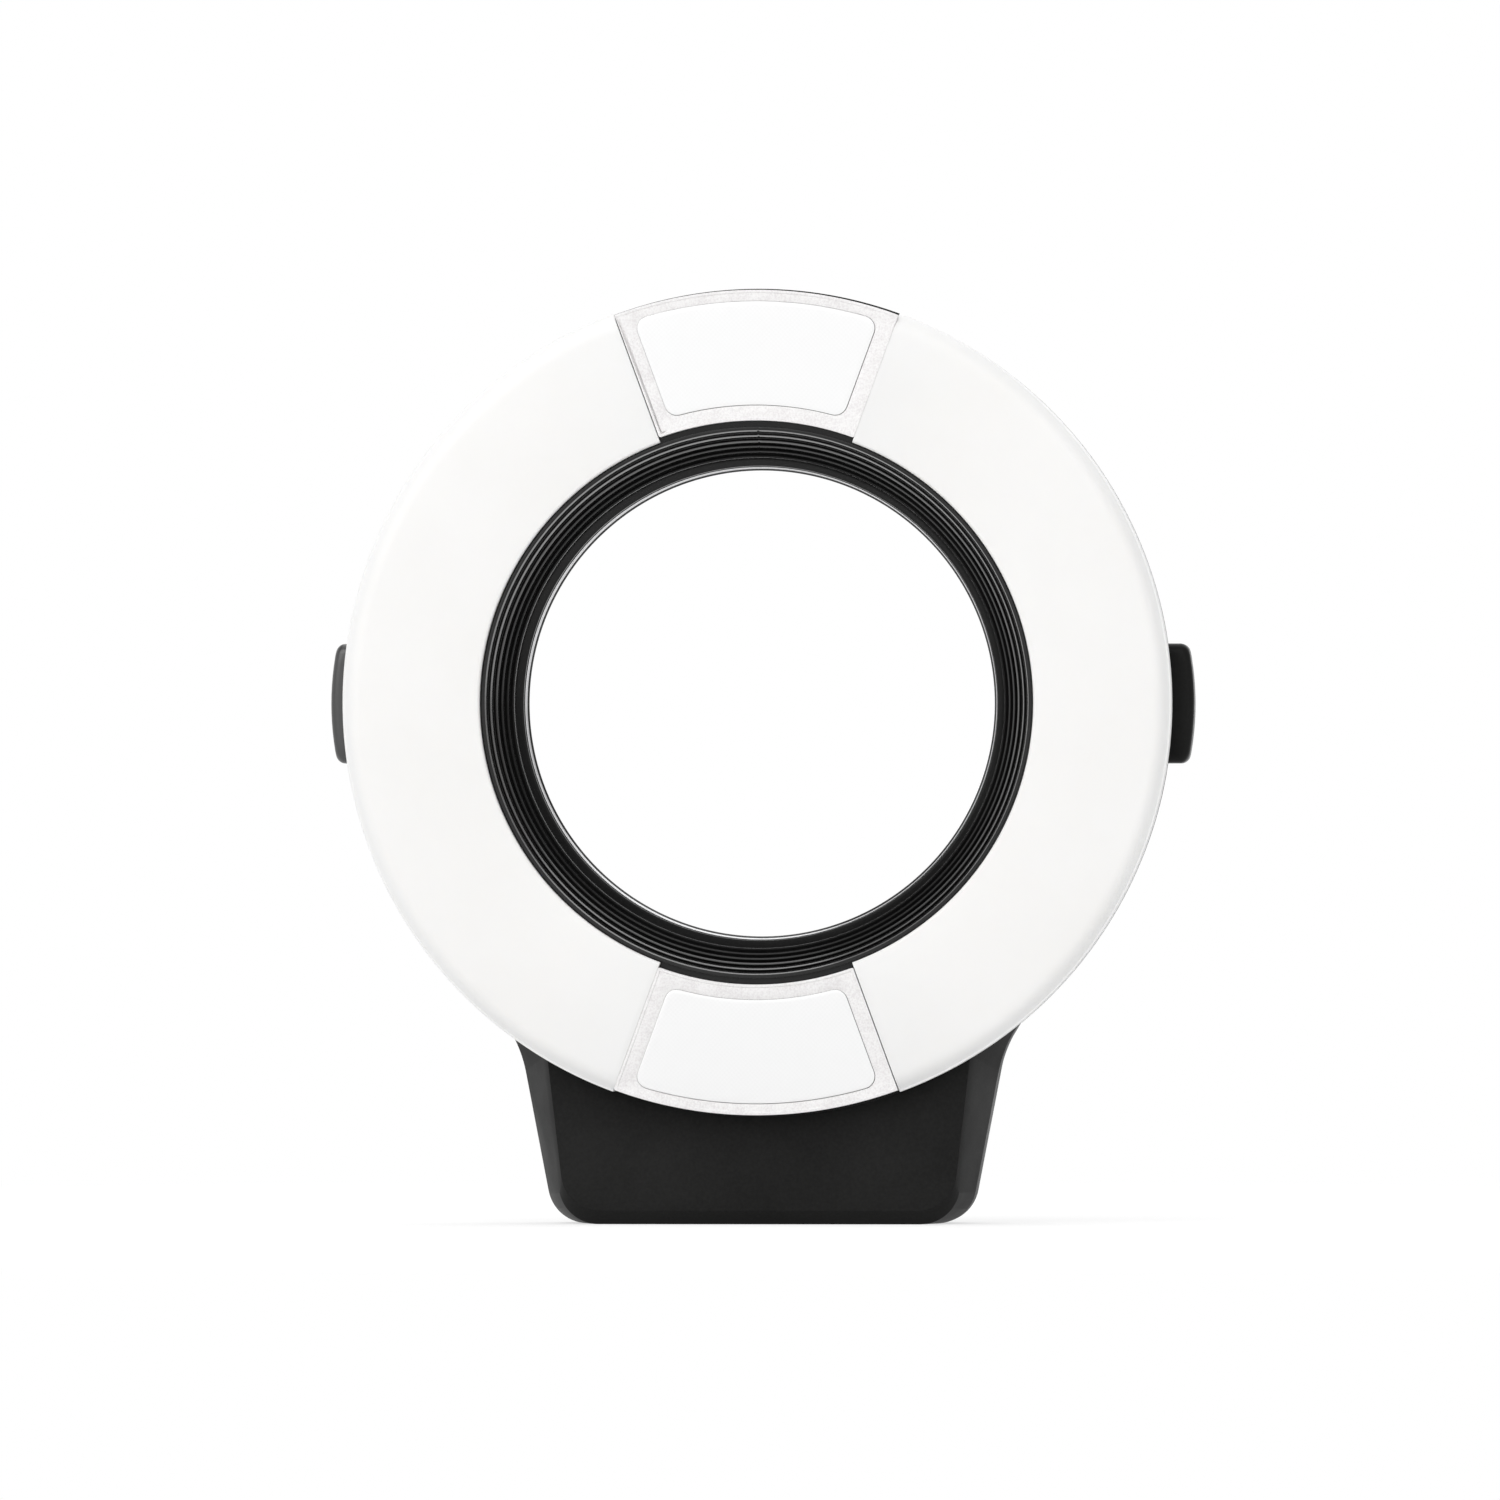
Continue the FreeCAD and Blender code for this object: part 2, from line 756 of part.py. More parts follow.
def flash_reflector():
    """Bright trough behind the right flash tube, closed at both ends."""
    room = cover_wall + close_gap + seam_gap
    lip = cover_inside - reflector_lip_drop
    outside = reflector_trough(0.0, lip).cut(both_wedges(-room))
    inside = reflector_trough(reflector_thickness, lip + fit_gap).cut(both_wedges(-room - reflector_thickness))
    return outside.cut(inside).common(right_half())


def arc_rod(radius, start, end):
    """Rod bent along the flash tube's ring, between two angles."""
    corners = regular_corners(radius, tube_ring_radius, tube_depth, tube_sides)
    return revolved(corners, start, end - start)


def tube_end_angle():
    """Angle of the upper end of the right flash tube."""
    margin = math.degrees(tube_end_margin / tube_ring_radius)
    return 90 - seam_half_angle - margin


def degrees_along(length):
    return math.degrees(length / tube_ring_radius)


def flash_tube():
    """Right glass tube, with a hole for an electrode in each end."""
    end = tube_end_angle()
    glass = arc_rod(tube_radius, -end, end)
    bottom = end - degrees_along(electrode_inside + fit_gap)
    hole = arc_rod(electrode_radius + fit_gap, bottom, end + degrees_along(overshoot))
    return glass.cut(hole).cut(hole.mirror(ORIGIN, UPWARD))


def tube_electrodes():
    end = tube_end_angle()
    inner = end - degrees_along(electrode_inside)
    outer = end + degrees_along(electrode_outside)
    upper = arc_rod(electrode_radius, inner, outer)
    return Part.makeCompound([upper, upper.mirror(ORIGIN, UPWARD)])


def tube_boots():
    """Soft end blocks that stand on the reflector's floor and hold the tube's ends."""
    end = tube_end_angle()
    centre = end - degrees_along(boot_length / 2 - electrode_outside)
    boot = block(tube_ring_radius - boot_width / 2, tube_ring_radius + boot_width / 2,
                 -boot_length / 2, boot_length / 2, partition_front + reflector_thickness,
                 tube_depth + tube_radius + boot_cap)
    boot = turn_about_axis(boot, centre)
    room = degrees_along(boot_length)
    boot = boot.cut(arc_rod(tube_radius + fit_gap, centre - room, end + degrees_along(fit_gap)))
    boot = boot.cut(arc_rod(electrode_radius + fit_gap, centre, end + room))
    return Part.makeCompound([boot, boot.mirror(ORIGIN, UPWARD)])


def led_board():
    """Upper focus light board, on its two ribs."""
    rear = partition_front + led_rest_height
    return sector(tube_ring_radius - led_board_half_width, tube_ring_radius + led_board_half_width,
                  led_board_inset, rear, rear + led_board_thickness)


def focus_leds():
    """Two rows of square light packages on the upper board."""
    rear = partition_front + led_rest_height + led_board_thickness
    packages = []
    for radius in (tube_ring_radius - led_row_offset, tube_ring_radius + led_row_offset):
        for column in range(led_columns):
            angle = (column - (led_columns - 1) / 2) * led_column_angle
            package = block(radius - led_size / 2, radius + led_size / 2, -led_size / 2, led_size / 2,
                            rear, rear + led_height)
            packages.append(turn_about_axis(package, 90 + angle))
    return Part.makeCompound(packages)


def trigger_board():
    board = block(-board_half_width, board_half_width, board_bottom_z, board_top_z, board_rear, board_front)
    for side in (-1, 1):
        board = board.cut(rod(screw_radius + fit_gap, side * standoff_x, standoff_z,
                              board_rear - overshoot, board_front + overshoot))
    return board


def trigger_coils():
    """One trigger transformer for each tube, wound between two square flanges on the board."""
    front = box_room_front - coil_gap
    coils = []
    for side in (-1, 1):
        x = side * coil_x
        coil = rod(winding_radius, x, coil_z, board_front + coil_flange, front - coil_flange)
        for start in (board_front, front - coil_flange):
            coil = coil.fuse(block(x - coil_half_width, x + coil_half_width, coil_z - coil_half_width,
                                   coil_z + coil_half_width, start, start + coil_flange))
        coils.append(coil)
    return Part.makeCompound(coils)


def trigger_capacitors():
    front = box_room_front - close_gap
    places = [side * capacitor_x for side in (-1, 1)]
    return Part.makeCompound([rod(capacitor_radius, x, capacitor_z, board_front, front) for x in places])


def board_connector():
    """Open socket on the back of the board, beside the inlet."""
    rear = board_rear - connector_depth
    left = connector_x - connector_width / 2
    right = connector_x + connector_width / 2
    low = connector_z - connector_height / 2
    high = connector_z + connector_height / 2
    wall = connector_wall
    room = block(left + wall, right - wall, low + wall, high - wall, rear - overshoot, board_rear - wall)
    return block(left, right, low, high, rear, board_rear).cut(room)


def board_screws():
    """Screws of the trigger board."""
    head = board_rear - screw_head_height
    tip = board_rear + screw_length
    return Part.makeCompound([
        screw(side * standoff_x, standoff_z, head, board_rear, tip)
        for side in (-1, 1)
    ])


def cable_gland():
    """Bush in the back of the box, flush outside, with a flange inside the cover."""
    flange_front = cover_thickness + gland_flange_thickness
    gland = revolved([
        (gland_bore_radius, 0, 0),
        (gland_radius, 0, 0),
        (gland_radius, cover_thickness, 0),
        (gland_radius + gland_flange, cover_thickness, 0),
        (gland_radius + gland_flange, flange_front, 0),
        (gland_bore_radius, flange_front, 0),
    ])
    gland.translate(Vector(0, 0, gland_z))
    return gland


def smallest_spring_gap():
    """Least gap between neighbouring turns, from points along the centre of the square wire."""
    samples = 72
    advance = (spring_length - 2 * spring_wire - 2 * fit_gap) / spring_turns
    points = []
    for step in range(samples * spring_turns + 1):
        angle = 2 * math.pi * step / samples
        across = spring_radius * math.cos(angle)
        points.append((advance * step / samples, across, spring_radius * math.sin(angle)))
    least = advance
    for index, point in enumerate(points):
        for other in points[index + samples // 2:]:
            least = min(least, math.dist(point, other))
    wire_diagonal = spring_wire * math.sqrt(2)
    return least - wire_diagonal


def make_parts():
    diffuser = flash_diffuser()
    bezel = focus_bezel()
    lens = focus_lens()
    reflector = flash_reflector()
    tube = flash_tube()
    electrodes = tube_electrodes()
    boots = tube_boots()
    board = led_board()
    leds = focus_leds()
    spring = release_spring()
    return {
        "front_body": front_body(),
        "rear_cover": rear_cover(),
        "ribbed_baffle": ribbed_baffle(),
        "bore_ring": bore_ring(),
        "flash_diffuser_a": other_side(diffuser),
        "flash_diffuser_b": diffuser,
        "focus_bezel_top": bezel,
        "focus_bezel_bottom": upside_down(bezel),
        "focus_lens_top": lens,
        "focus_lens_bottom": upside_down(lens),
        "reflector_a": other_side(reflector),
        "reflector_b": reflector,
        "flash_tube_a": other_side(tube),
        "flash_tube_b": tube,
        "tube_electrodes_a": other_side(electrodes),
        "tube_electrodes_b": electrodes,
        "tube_boots_a": other_side(boots),
        "tube_boots_b": boots,
        "led_board_top": board,
        "led_board_bottom": upside_down(board),
        "focus_leds_top": leds,
        "focus_leds_bottom": upside_down(leds),
        "release_button_right": release_button(latch_right_rear),
        "release_button_left": other_side(release_button(latch_left_rear)),
        "latch_plate_right": latch_plate(latch_right_rear),
        "latch_plate_left": other_side(latch_plate(latch_left_rear)),
        "release_spring_right": spring,
        "release_spring_left": other_side(spring),
        "latch_retainer": latch_retainer(),
        "retainer_screws": retainer_screws(),
        "cover_screws": cover_screws(),
        "trigger_board": trigger_board(),
        "trigger_coils": trigger_coils(),
        "trigger_capacitors": trigger_capacitors(),
        "board_connector": board_connector(),
        "board_screws": board_screws(),
        "cable_gland": cable_gland(),
    }


os.makedirs("parts", exist_ok=True)
for name, shape in make_parts().items():
    solids = shape.Solids
    body = solids[0] if len(solids) == 1 else Part.makeCompound(solids)
    body.exportStep("parts/" + name + ".step")
    print(name, len(solids), round(body.Volume, 1), body.isValid())
print("least gap between spring turns:", round(smallest_spring_gap(), 2))
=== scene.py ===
import math
import random

import bmesh
import bpy
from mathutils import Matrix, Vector


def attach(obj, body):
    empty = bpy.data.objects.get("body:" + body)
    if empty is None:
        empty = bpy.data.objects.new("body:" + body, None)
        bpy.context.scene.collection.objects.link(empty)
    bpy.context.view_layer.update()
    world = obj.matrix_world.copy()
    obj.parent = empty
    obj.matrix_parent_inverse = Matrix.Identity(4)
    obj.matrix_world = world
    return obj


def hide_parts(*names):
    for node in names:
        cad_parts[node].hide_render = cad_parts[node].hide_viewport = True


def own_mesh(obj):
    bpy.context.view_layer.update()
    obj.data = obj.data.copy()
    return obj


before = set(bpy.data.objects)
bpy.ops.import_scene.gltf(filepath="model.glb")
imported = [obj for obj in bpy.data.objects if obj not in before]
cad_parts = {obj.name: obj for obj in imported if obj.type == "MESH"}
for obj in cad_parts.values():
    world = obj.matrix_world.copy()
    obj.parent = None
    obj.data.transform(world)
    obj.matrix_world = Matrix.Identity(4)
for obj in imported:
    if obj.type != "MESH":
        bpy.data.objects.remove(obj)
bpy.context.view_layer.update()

# Ring flash head. Sizes are in millimetres until a mesh is made, and a depth is a distance
# in front of the rear plane, so a depth of d lies at y = -d.
MM = 0.001
TURN = 2 * math.pi

# Ring, covers and focus lights
FRONT = 28.0
COVER_RADIUS = 62.0
FLASH_INNER = 41.4
SKIRT_REAR = 21.6
COVER_WALL = 1.7
SEAM_ANGLE = 69.85
HALF_SEAM = 0.1
BEZEL_INNER = 42.15
WINDOW_INNER = 44.4
WINDOW_OUTER = 60.0
WINDOW_BORDER = 2.4
WINDOW_CORNER = 1.9
FACE_DROP = 0.14
FLANGE_FRONT = 25.6
FLANGE_REAR = 24.3
FLANGE_RADIUS = 43.6
BODY_RADIUS = 61.4
BODY_BORE = 59.3
COVER_THICKNESS = 2.2
PARTITION_REAR = 11.6
PARTITION_FRONT = 13.0

# Funnel and bright ring
BAFFLE_OUTER = 41.0
LIP_RADIUS = 41.25
LIP_WIDTH = 0.55
LIP_FRONT = 27.0
RIB_PITCH = 0.74
RIB_STEP = 1.6
THROAT = 35.75
THROAT_REAR = 10.3
FUNNEL_END = 35.5
BORE = 35.0
BORE_RING_OUTER = 37.6
BORE_RING_FRONT = 13.0
BORE_RING_LIP = 13.45

# Each rib's face width, the face's slope in degrees and the depth of the slot behind it
RIBS = (
    (0.26, 13.0, 2.4),
    (0.28, 13.0, 2.4),
    (0.26, 18.0, 2.3),
    (0.24, 24.0, 2.1),
    (0.22, 30.0, 2.0),
    (0.2, 46.0, 1.1),
)

# Adapter seat
SEAT_RADIUS = 37.5
SEAT_OUTER = 39.0
SEAT_DEPTH = 10.0
REGISTER_RADIUS = 36.0
REGISTER_REAR = 7.0

# Box
BOX_FRONT = 20.6
BOX_BEVEL_START = 10.5
BOX_BEVEL_INSET = 4.4
BOX_BOTTOM = -78.1
BOX_TOE = 2.0
BOX_SHOULDER = 36.2
BOX_SHOULDER_Z = -52.0
BOX_FOOT = 31.2
BOX_CORNER = 6.0
FLARE_TOP = -46.0
FLARE_SLOPE = 8.0 / 4.8

# Buttons, springs, screws and the lead's inlet
BUTTON_REACH = 64.95
BUTTON_HALF = 9.0
BUTTON_REAR = 2.6
BUTTON_FRONT = 10.8
BUTTON_INNER = 55.5
BUTTON_CLEARANCE = 0.3
POST_X = 48.5
SPRING_DEPTH = 3.925
GLAND_Z = -68.0
COVER_SCREWS = [(46.2, 32.35), (-46.2, 32.35), (25.0, -71.9), (-25.0, -71.9)]


# Mesh helpers

def arc_between(start, end, centre, segments):
    """Points from start to end along the circle round the centre, both ends included."""
    a = Vector(start) - Vector(centre)
    b = Vector(end) - Vector(centre)
    sweep = a.angle(b)
    points = []
    for step in range(segments + 1):
        share = step / segments
        spot = (a * math.sin((1 - share) * sweep) + b * math.sin(share * sweep)) / math.sin(sweep)
        points.append((centre[0] + spot.x, centre[1] + spot.y))
    return points


def rounded(corners, segments):
    """Closed outline through (u, v, round) corners, each round drawn as an arc."""
    points = []
    count = len(corners)
    for index, (u, v, size) in enumerate(corners):
        here = Vector((u, v))
        if size == 0:
            points.append((u, v))
            continue
        back = (Vector(corners[index - 1][:2]) - here).normalized()
        ahead = (Vector(corners[(index + 1) % count][:2]) - here).normalized()
        half = back.angle(ahead) / 2
        centre = here + (back + ahead).normalized() * (size / math.sin(half))
        reach = size / math.tan(half)
        points += arc_between(here + back * reach, here + ahead * reach, centre, segments)
    return points


def circle(radius, u, v, steps):
    """Points of a circle round (u, v)."""
    angles = [TURN * k / steps for k in range(steps)]
    return [(u + radius * math.cos(angle), v + radius * math.sin(angle)) for angle in angles]


def in_space(outline, depth):
    """Outline of (x, z) points placed at a depth."""
    return [(x, -depth, z) for x, z in outline]


def new_object(name, data):
    made = bpy.data.objects.new(name, data)
    bpy.context.scene.collection.objects.link(made)
    return made


def mesh_from(bm, name):
    mesh = bpy.data.meshes.new(name)
    bm.to_mesh(mesh)
    bm.free()
    return mesh


def shade(piece, sharp):
    """Smooth shading, with sharp edges from an angle in degrees."""
    piece.data.shade_smooth()
    piece.data.set_sharp_from_angle(angle=math.radians(sharp))


def apply_modifiers(piece):
    graph = bpy.context.evaluated_depsgraph_get()
    made = bpy.data.meshes.new_from_object(piece.evaluated_get(graph))
    made.name = piece.name
    piece.modifiers.clear()
    piece.data = made


def finished(name, bm, material, sharp=32.0, bevel=0.0, bevel_angle=32.0, segments=3):
    """Object from a bmesh in millimetres, with clean normals and softened edges."""
    bmesh.ops.remove_doubles(bm, verts=bm.verts, dist=1e-5)
    bmesh.ops.recalc_face_normals(bm, faces=bm.faces)
    bmesh.ops.scale(bm, vec=(MM, MM, MM), verts=bm.verts)
    piece = new_object(name, mesh_from(bm, name))
    if bevel:
        soften = piece.modifiers.new("soften", "BEVEL")
        soften.width = bevel * MM
        soften.segments = segments
        soften.limit_method = "ANGLE"
        soften.angle_limit = math.radians(bevel_angle)
        soften.use_clamp_overlap = True
        apply_modifiers(piece)
    shade(piece, sharp)
    piece.data.materials.append(material)
    return piece


def join_rows(bm, near, far):
    """Faces between two loops of vertices of equal counts."""
    count = len(near)
    for k in range(count):
        bm.faces.new((near[k], near[(k + 1) % count], far[(k + 1) % count], far[k]))


def add_loops(bm, loops, close=False, cap_first=False, cap_last=False):
    """Skin over loops of equal counts; close joins the last loop to the first."""
    rows = [[bm.verts.new(point) for point in loop] for loop in loops]
    pairs = list(zip(rows, rows[1:]))
    if close:
        pairs.append((rows[-1], rows[0]))
    for near, far in pairs:
        join_rows(bm, near, far)
    if cap_first:
        bm.faces.new(rows[0])
    if cap_last:
        bm.faces.new(list(reversed(rows[-1])))
    return rows


def add_lathe(bm, profile, steps, centre=(0.0, 0.0), notches=()):
    """Closed profile of (radius, depth) turned all the way round.

    A notch is a pair of degrees and the profile that it has there.
    """
    turns = [(360.0 * k / steps, profile) for k in range(steps)] + list(notches)
    loops = []
    for degrees, section in sorted(turns, key=lambda turn: turn[0]):
        cos, sin = math.cos(math.radians(degrees)), math.sin(math.radians(degrees))
        loops.append([(centre[0] + r * cos, -d, centre[1] + r * sin) for r, d in section])
    add_loops(bm, loops, close=True)


def add_arc_lathe(bm, profile, limit, steps):
    """Closed profile turned between -limit(radius) and +limit(radius) degrees, with flat ends."""
    loops = []
    for k in range(steps + 1):
        share = 2 * k / steps - 1
        loop = []
        for radius, depth in profile:
            angle = math.radians(share * limit(radius))
            loop.append((radius * math.cos(angle), -depth, radius * math.sin(angle)))
        loops.append(loop)
    add_loops(bm, loops, cap_first=True, cap_last=True)


def add_filled(bm, outer, holes):
    """Flat face between a loop of vertices and the loops of its holes."""
    edges = []
    for loop in [outer] + holes:
        count = len(loop)
        for k in range(count):
            ends = (loop[k], loop[(k + 1) % count])
            edges.append(bm.edges.get(ends) or bm.edges.new(ends))
    bmesh.ops.triangle_fill(bm, edges=edges, use_beauty=True, use_dissolve=False)


def add_block(bm, low, high):
    for vert in bmesh.ops.create_cube(bm, size=1.0)["verts"]:
        for axis in range(3):
            vert.co[axis] = low[axis] if vert.co[axis] < 0 else high[axis]


def carve(piece, side, inner, outer, rear, front, half):
    """Cuts an opening into the right side (1) or the left side (-1) of a piece.

    It runs from inner to outer across, from rear to front in depth, and half up and half down.
    """
    low, high = sorted((side * inner, side * outer))
    bm = bmesh.new()
    add_block(bm, (low * MM, -front * MM, -half * MM), (high * MM, -rear * MM, half * MM))
    bmesh.ops.recalc_face_normals(bm, faces=bm.faces)
    cutter = new_object("cutter", mesh_from(bm, "cutter"))
    cut = piece.modifiers.new("cut", "BOOLEAN")
    cut.operation = "DIFFERENCE"
    cut.solver = "EXACT"
    cut.object = cutter
    apply_modifiers(piece)
    bpy.data.objects.remove(cutter)


def stands_for(piece, body, *nodes):
    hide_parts(*nodes)
    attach(piece, body)
    return piece


def mirrored(piece, name, body, node):
    """Copy of a piece mirrored from right to left."""
    mesh = piece.data.copy()
    mesh.name = name
    for vert in mesh.vertices:
        vert.co.x = -vert.co.x
    mesh.flip_normals()
    return stands_for(new_object(name, mesh), body, node)


# Node trees

class Graph:
    """Short way to write a node tree."""

    def __init__(self, tree):
        self.tree = tree

    def add(self, kind, **values):
        node = self.tree.nodes.new(kind)
        for key, value in values.items():
            setattr(node, key, value)
        return node

    def join(self, source, target):
        self.tree.links.new(source, target)

    def spread(self, source, low, high, start=0.3, end=0.7, kind="LINEAR"):
        """Source taken from the start..end range to low..high."""
        node = self.add("ShaderNodeMapRange", interpolation_type=kind)
        for key, value in (("From Min", start), ("From Max", end), ("To Min", low), ("To Max", high)):
            node.inputs[key].default_value = value
        self.join(source, node.inputs["Value"])
        return node.outputs["Result"]

    def math(self, operation, a, b=None):
        node = self.add("ShaderNodeMath", operation=operation)
        for index, value in enumerate((a, b)):
            if value is None:
                continue
            if isinstance(value, (int, float)):
                node.inputs[index].default_value = value
            else:
                self.join(value, node.inputs[index])
        return node.outputs["Value"]


class Surface(Graph):
    """Node tree round one Principled shader."""

    # The mix node's sockets for colours
    MIX_FIRST, MIX_SECOND, MIX_RESULT = 6, 7, 2

    def __init__(self, name):
        self.material = bpy.data.materials.new(name)
        self.material.use_nodes = True
        super().__init__(self.material.node_tree)
        self.shader = self.tree.nodes["Principled BSDF"]
        self.place = self.add("ShaderNodeTexCoord").outputs["Object"]

    def noise(self, scale, detail=3.0, rough=0.5, stretch=None):
        node = self.add("ShaderNodeTexNoise")
        node.inputs["Scale"].default_value = scale
        node.inputs["Detail"].default_value = detail
        node.inputs["Roughness"].default_value = rough
        place = self.place
        if stretch:
            mapping = self.add("ShaderNodeMapping")
            mapping.inputs["Scale"].default_value = stretch
            self.join(place, mapping.inputs["Vector"])
            place = mapping.outputs["Vector"]
        self.join(place, node.inputs["Vector"])
        return node.outputs["Fac"]

    def ramp(self, source, stops):
        node = self.add("ShaderNodeValToRGB")
        ramp = node.color_ramp
        while len(ramp.elements) < len(stops):
            ramp.elements.new(0.5)
        for element, (spot, colour) in zip(ramp.elements, stops):
            element.position = spot
            element.color = (*colour, 1.0)
        self.join(source, node.inputs["Fac"])
        return node.outputs["Color"]

    def two_tone(self, source, dark, light, low=0.35, high=0.65):
        """Dark where the source is under low, light where it is over high."""
        return self.ramp(source, [(low, dark), (high, light)])

    def blend(self, factor, first, second):
        """First colour where the factor is 0, second where it is 1."""
        node = self.add("ShaderNodeMix", data_type="RGBA")
        self.join(factor, node.inputs["Factor"])
        self.join(first, node.inputs[self.MIX_FIRST])
        self.join(second, node.inputs[self.MIX_SECOND])
        return node.outputs[self.MIX_RESULT]

    def weighed(self, first, share, second):
        """Sum of two values, the first one counted by its share and the second by the rest."""
        return self.math("ADD", self.math("MULTIPLY", first, share), self.math("MULTIPLY", second, 1 - share))

    def parts(self, vector):
        node = self.add("ShaderNodeSeparateXYZ")
        self.join(vector, node.inputs["Vector"])
        return node.outputs

    def axis(self, index):
        """Place along one axis, in metres."""
        return self.parts(self.place)[index]

    def radius(self):
        """Distance from the optical axis, in metres."""
        x, z = self.axis(0), self.axis(2)
        return self.math("SQRT", self.math("ADD", self.math("MULTIPLY", x, x), self.math("MULTIPLY", z, z)))

    def bump(self, height, distance):
        """Relief with a height in millimetres."""
        node = self.add("ShaderNodeBump")
        node.inputs["Distance"].default_value = distance * MM
        node.inputs["Strength"].default_value = 1.0
        self.join(height, node.inputs["Height"])
        self.join(node.outputs["Normal"], self.shader.inputs["Normal"])

    def set(self, **values):
        for key, value in values.items():
            self.shader.inputs[key.replace("_", " ")].default_value = value

    def colour(self, source):
        self.join(source, self.shader.inputs["Base Color"])

    def roughness(self, source):
        self.join(source, self.shader.inputs["Roughness"])

    def specular(self, source):
        self.join(source, self.shader.inputs["Specular IOR Level"])


def grey(value):
    return value, value, value


# Materials

def moulded_plastic(name, dark, light, rough, grain, height, level=0.5, painted_left_sheen=None):
    """Moulded plastic: a fine spark grain, faint cloudiness and handling marks in the gloss.

    Where a left level is given, the left side reflects by it instead: a painted highlight for light falling
    from the left.
    """
    m = Surface(name)
    m.set(Specular_IOR_Level=level)
    # Painted highlight: gloss raised on the left side, for the light that falls from the left.
    if painted_left_sheen is not None:
        m.specular(m.spread(m.axis(0), painted_left_sheen, level, -10 * MM, 10 * MM))
    cloud = m.noise(45, detail=4)
    fine = m.noise(grain, detail=2, rough=0.6)
    m.colour(m.two_tone(m.weighed(cloud, 0.6, fine), dark, light))
    m.roughness(m.spread(m.noise(110, detail=5), rough - 0.05, rough + 0.07))
    m.bump(fine, height)
    return m.material


def milky_plastic():
    """Milky white, with painted shade: a little greyer round the rim and towards the seams."""
    m = Surface("milky_diffuser")
    m.set(Specular_IOR_Level=0.35, Subsurface_Weight=0.12, Subsurface_Scale=2 * MM)
    m.set(Subsurface_Radius=(1.0, 0.95, 0.85))
    cloud = m.noise(38, detail=3)
    face = m.two_tone(cloud, (0.93, 0.92, 0.903), (0.95, 0.942, 0.928))
    rim = m.two_tone(cloud, (0.892, 0.891, 0.885), (0.915, 0.914, 0.908))
    # Painted shade: the rim and the ends by the seams get the greyer colour, which stands in for shade and
    # not for a tint of the plastic.
    edge = m.spread(m.radius(), 0.0, 1.0, 59.8 * MM, 61.2 * MM)
    sideways = m.math("DIVIDE", m.math("ABSOLUTE", m.axis(0)), m.radius())
    seam = m.spread(sideways, 0.75, 0.0, 0.34, 0.6)
    m.colour(m.blend(m.math("MAXIMUM", edge, seam), face, rim))
    m.roughness(m.spread(m.noise(160, detail=4), 0.36, 0.46))
    m.bump(m.noise(1600, detail=2), 0.004)
    return m.material


def frosted_plastic():
    m = Surface("frosted_frame")
    m.set(Specular_IOR_Level=0.4)
    speckle = m.noise(3600, detail=1, rough=0.7)
    patch = m.noise(420, detail=3)
    dark, middle, light = (0.82, 0.798, 0.8), (0.895, 0.882, 0.88), (0.945, 0.936, 0.932)
    m.colour(m.ramp(m.weighed(speckle, 0.65, patch), [(0.36, dark), (0.5, middle), (0.64, light)]))
    m.roughness(m.spread(speckle, 0.45, 0.62))
    m.bump(speckle, 0.02)
    return m.material


def window_plastic():
    """Bright clear window over white lamps, with a fine prism pattern on its back."""
    m = Surface("window_clear")
    m.set(Specular_IOR_Level=0.5, Coat_Weight=0.6, Coat_Roughness=0.05)
    waves = 9000.0
    across, up = [m.math("SINE", m.math("MULTIPLY", m.axis(index), waves)) for index in (0, 2)]
    lattice = m.math("MULTIPLY", across, up)
    m.colour(m.two_tone(m.spread(lattice, 0.0, 1.0, -1.0, 1.0), grey(0.945), grey(0.965), 0.0, 1.0))
    m.roughness(m.spread(m.noise(90, detail=4), 0.12, 0.2))
    m.bump(lattice, 0.002)
    return m.material


def baffle_plastic():
    """Black, with the faint flow marks of a moulded ring.

    Painted highlights: the outer ribs and the lip are made to reflect more than the inner ones and the cone,
    and more above than below, to stand in for how the light falls on them.
    """
    m = Surface("baffle_matt")
    # Painted highlight: the gloss is set by the distance from the axis, strongest on the outer ribs and the
    # lip.
    ribs = m.ramp(m.spread(m.radius(), 0.0, 1.0, 37 * MM, 41 * MM), [
        (0.05, grey(0.1)), (0.4, grey(0.11)), (0.56, grey(0.25)),
        (0.72, grey(1.0)), (0.91, grey(0.85)), (0.94, grey(0.0))])
    # Painted highlight: the top gets up to four times the gloss of the bottom, and is made smoother as well.
    upper = m.spread(m.axis(2), 0.0, 1.0, -30 * MM, 36 * MM)
    lip_edge = LIP_RADIUS - LIP_WIDTH
    lip = m.spread(m.radius(), 0.0, 0.32, (lip_edge + 0.02) * MM, (lip_edge + 0.08) * MM)
    m.specular(m.math("ADD", m.math("MULTIPLY", ribs, m.spread(upper, 0.6, 2.4, 0.0, 1.0)), lip))
    fine = m.noise(2600, detail=2, rough=0.6)
    flow = m.noise(1.0, detail=2, stretch=(60.0, 900.0, 60.0))
    m.colour(m.two_tone(m.weighed(fine, 0.5, flow), grey(0.008), (0.014, 0.014, 0.0138)))
    m.roughness(m.math("MULTIPLY", m.spread(flow, 0.18, 0.28), m.spread(upper, 1.0, 0.5, 0.3, 1.0)))
    m.bump(fine, 0.0025)
    return m.material


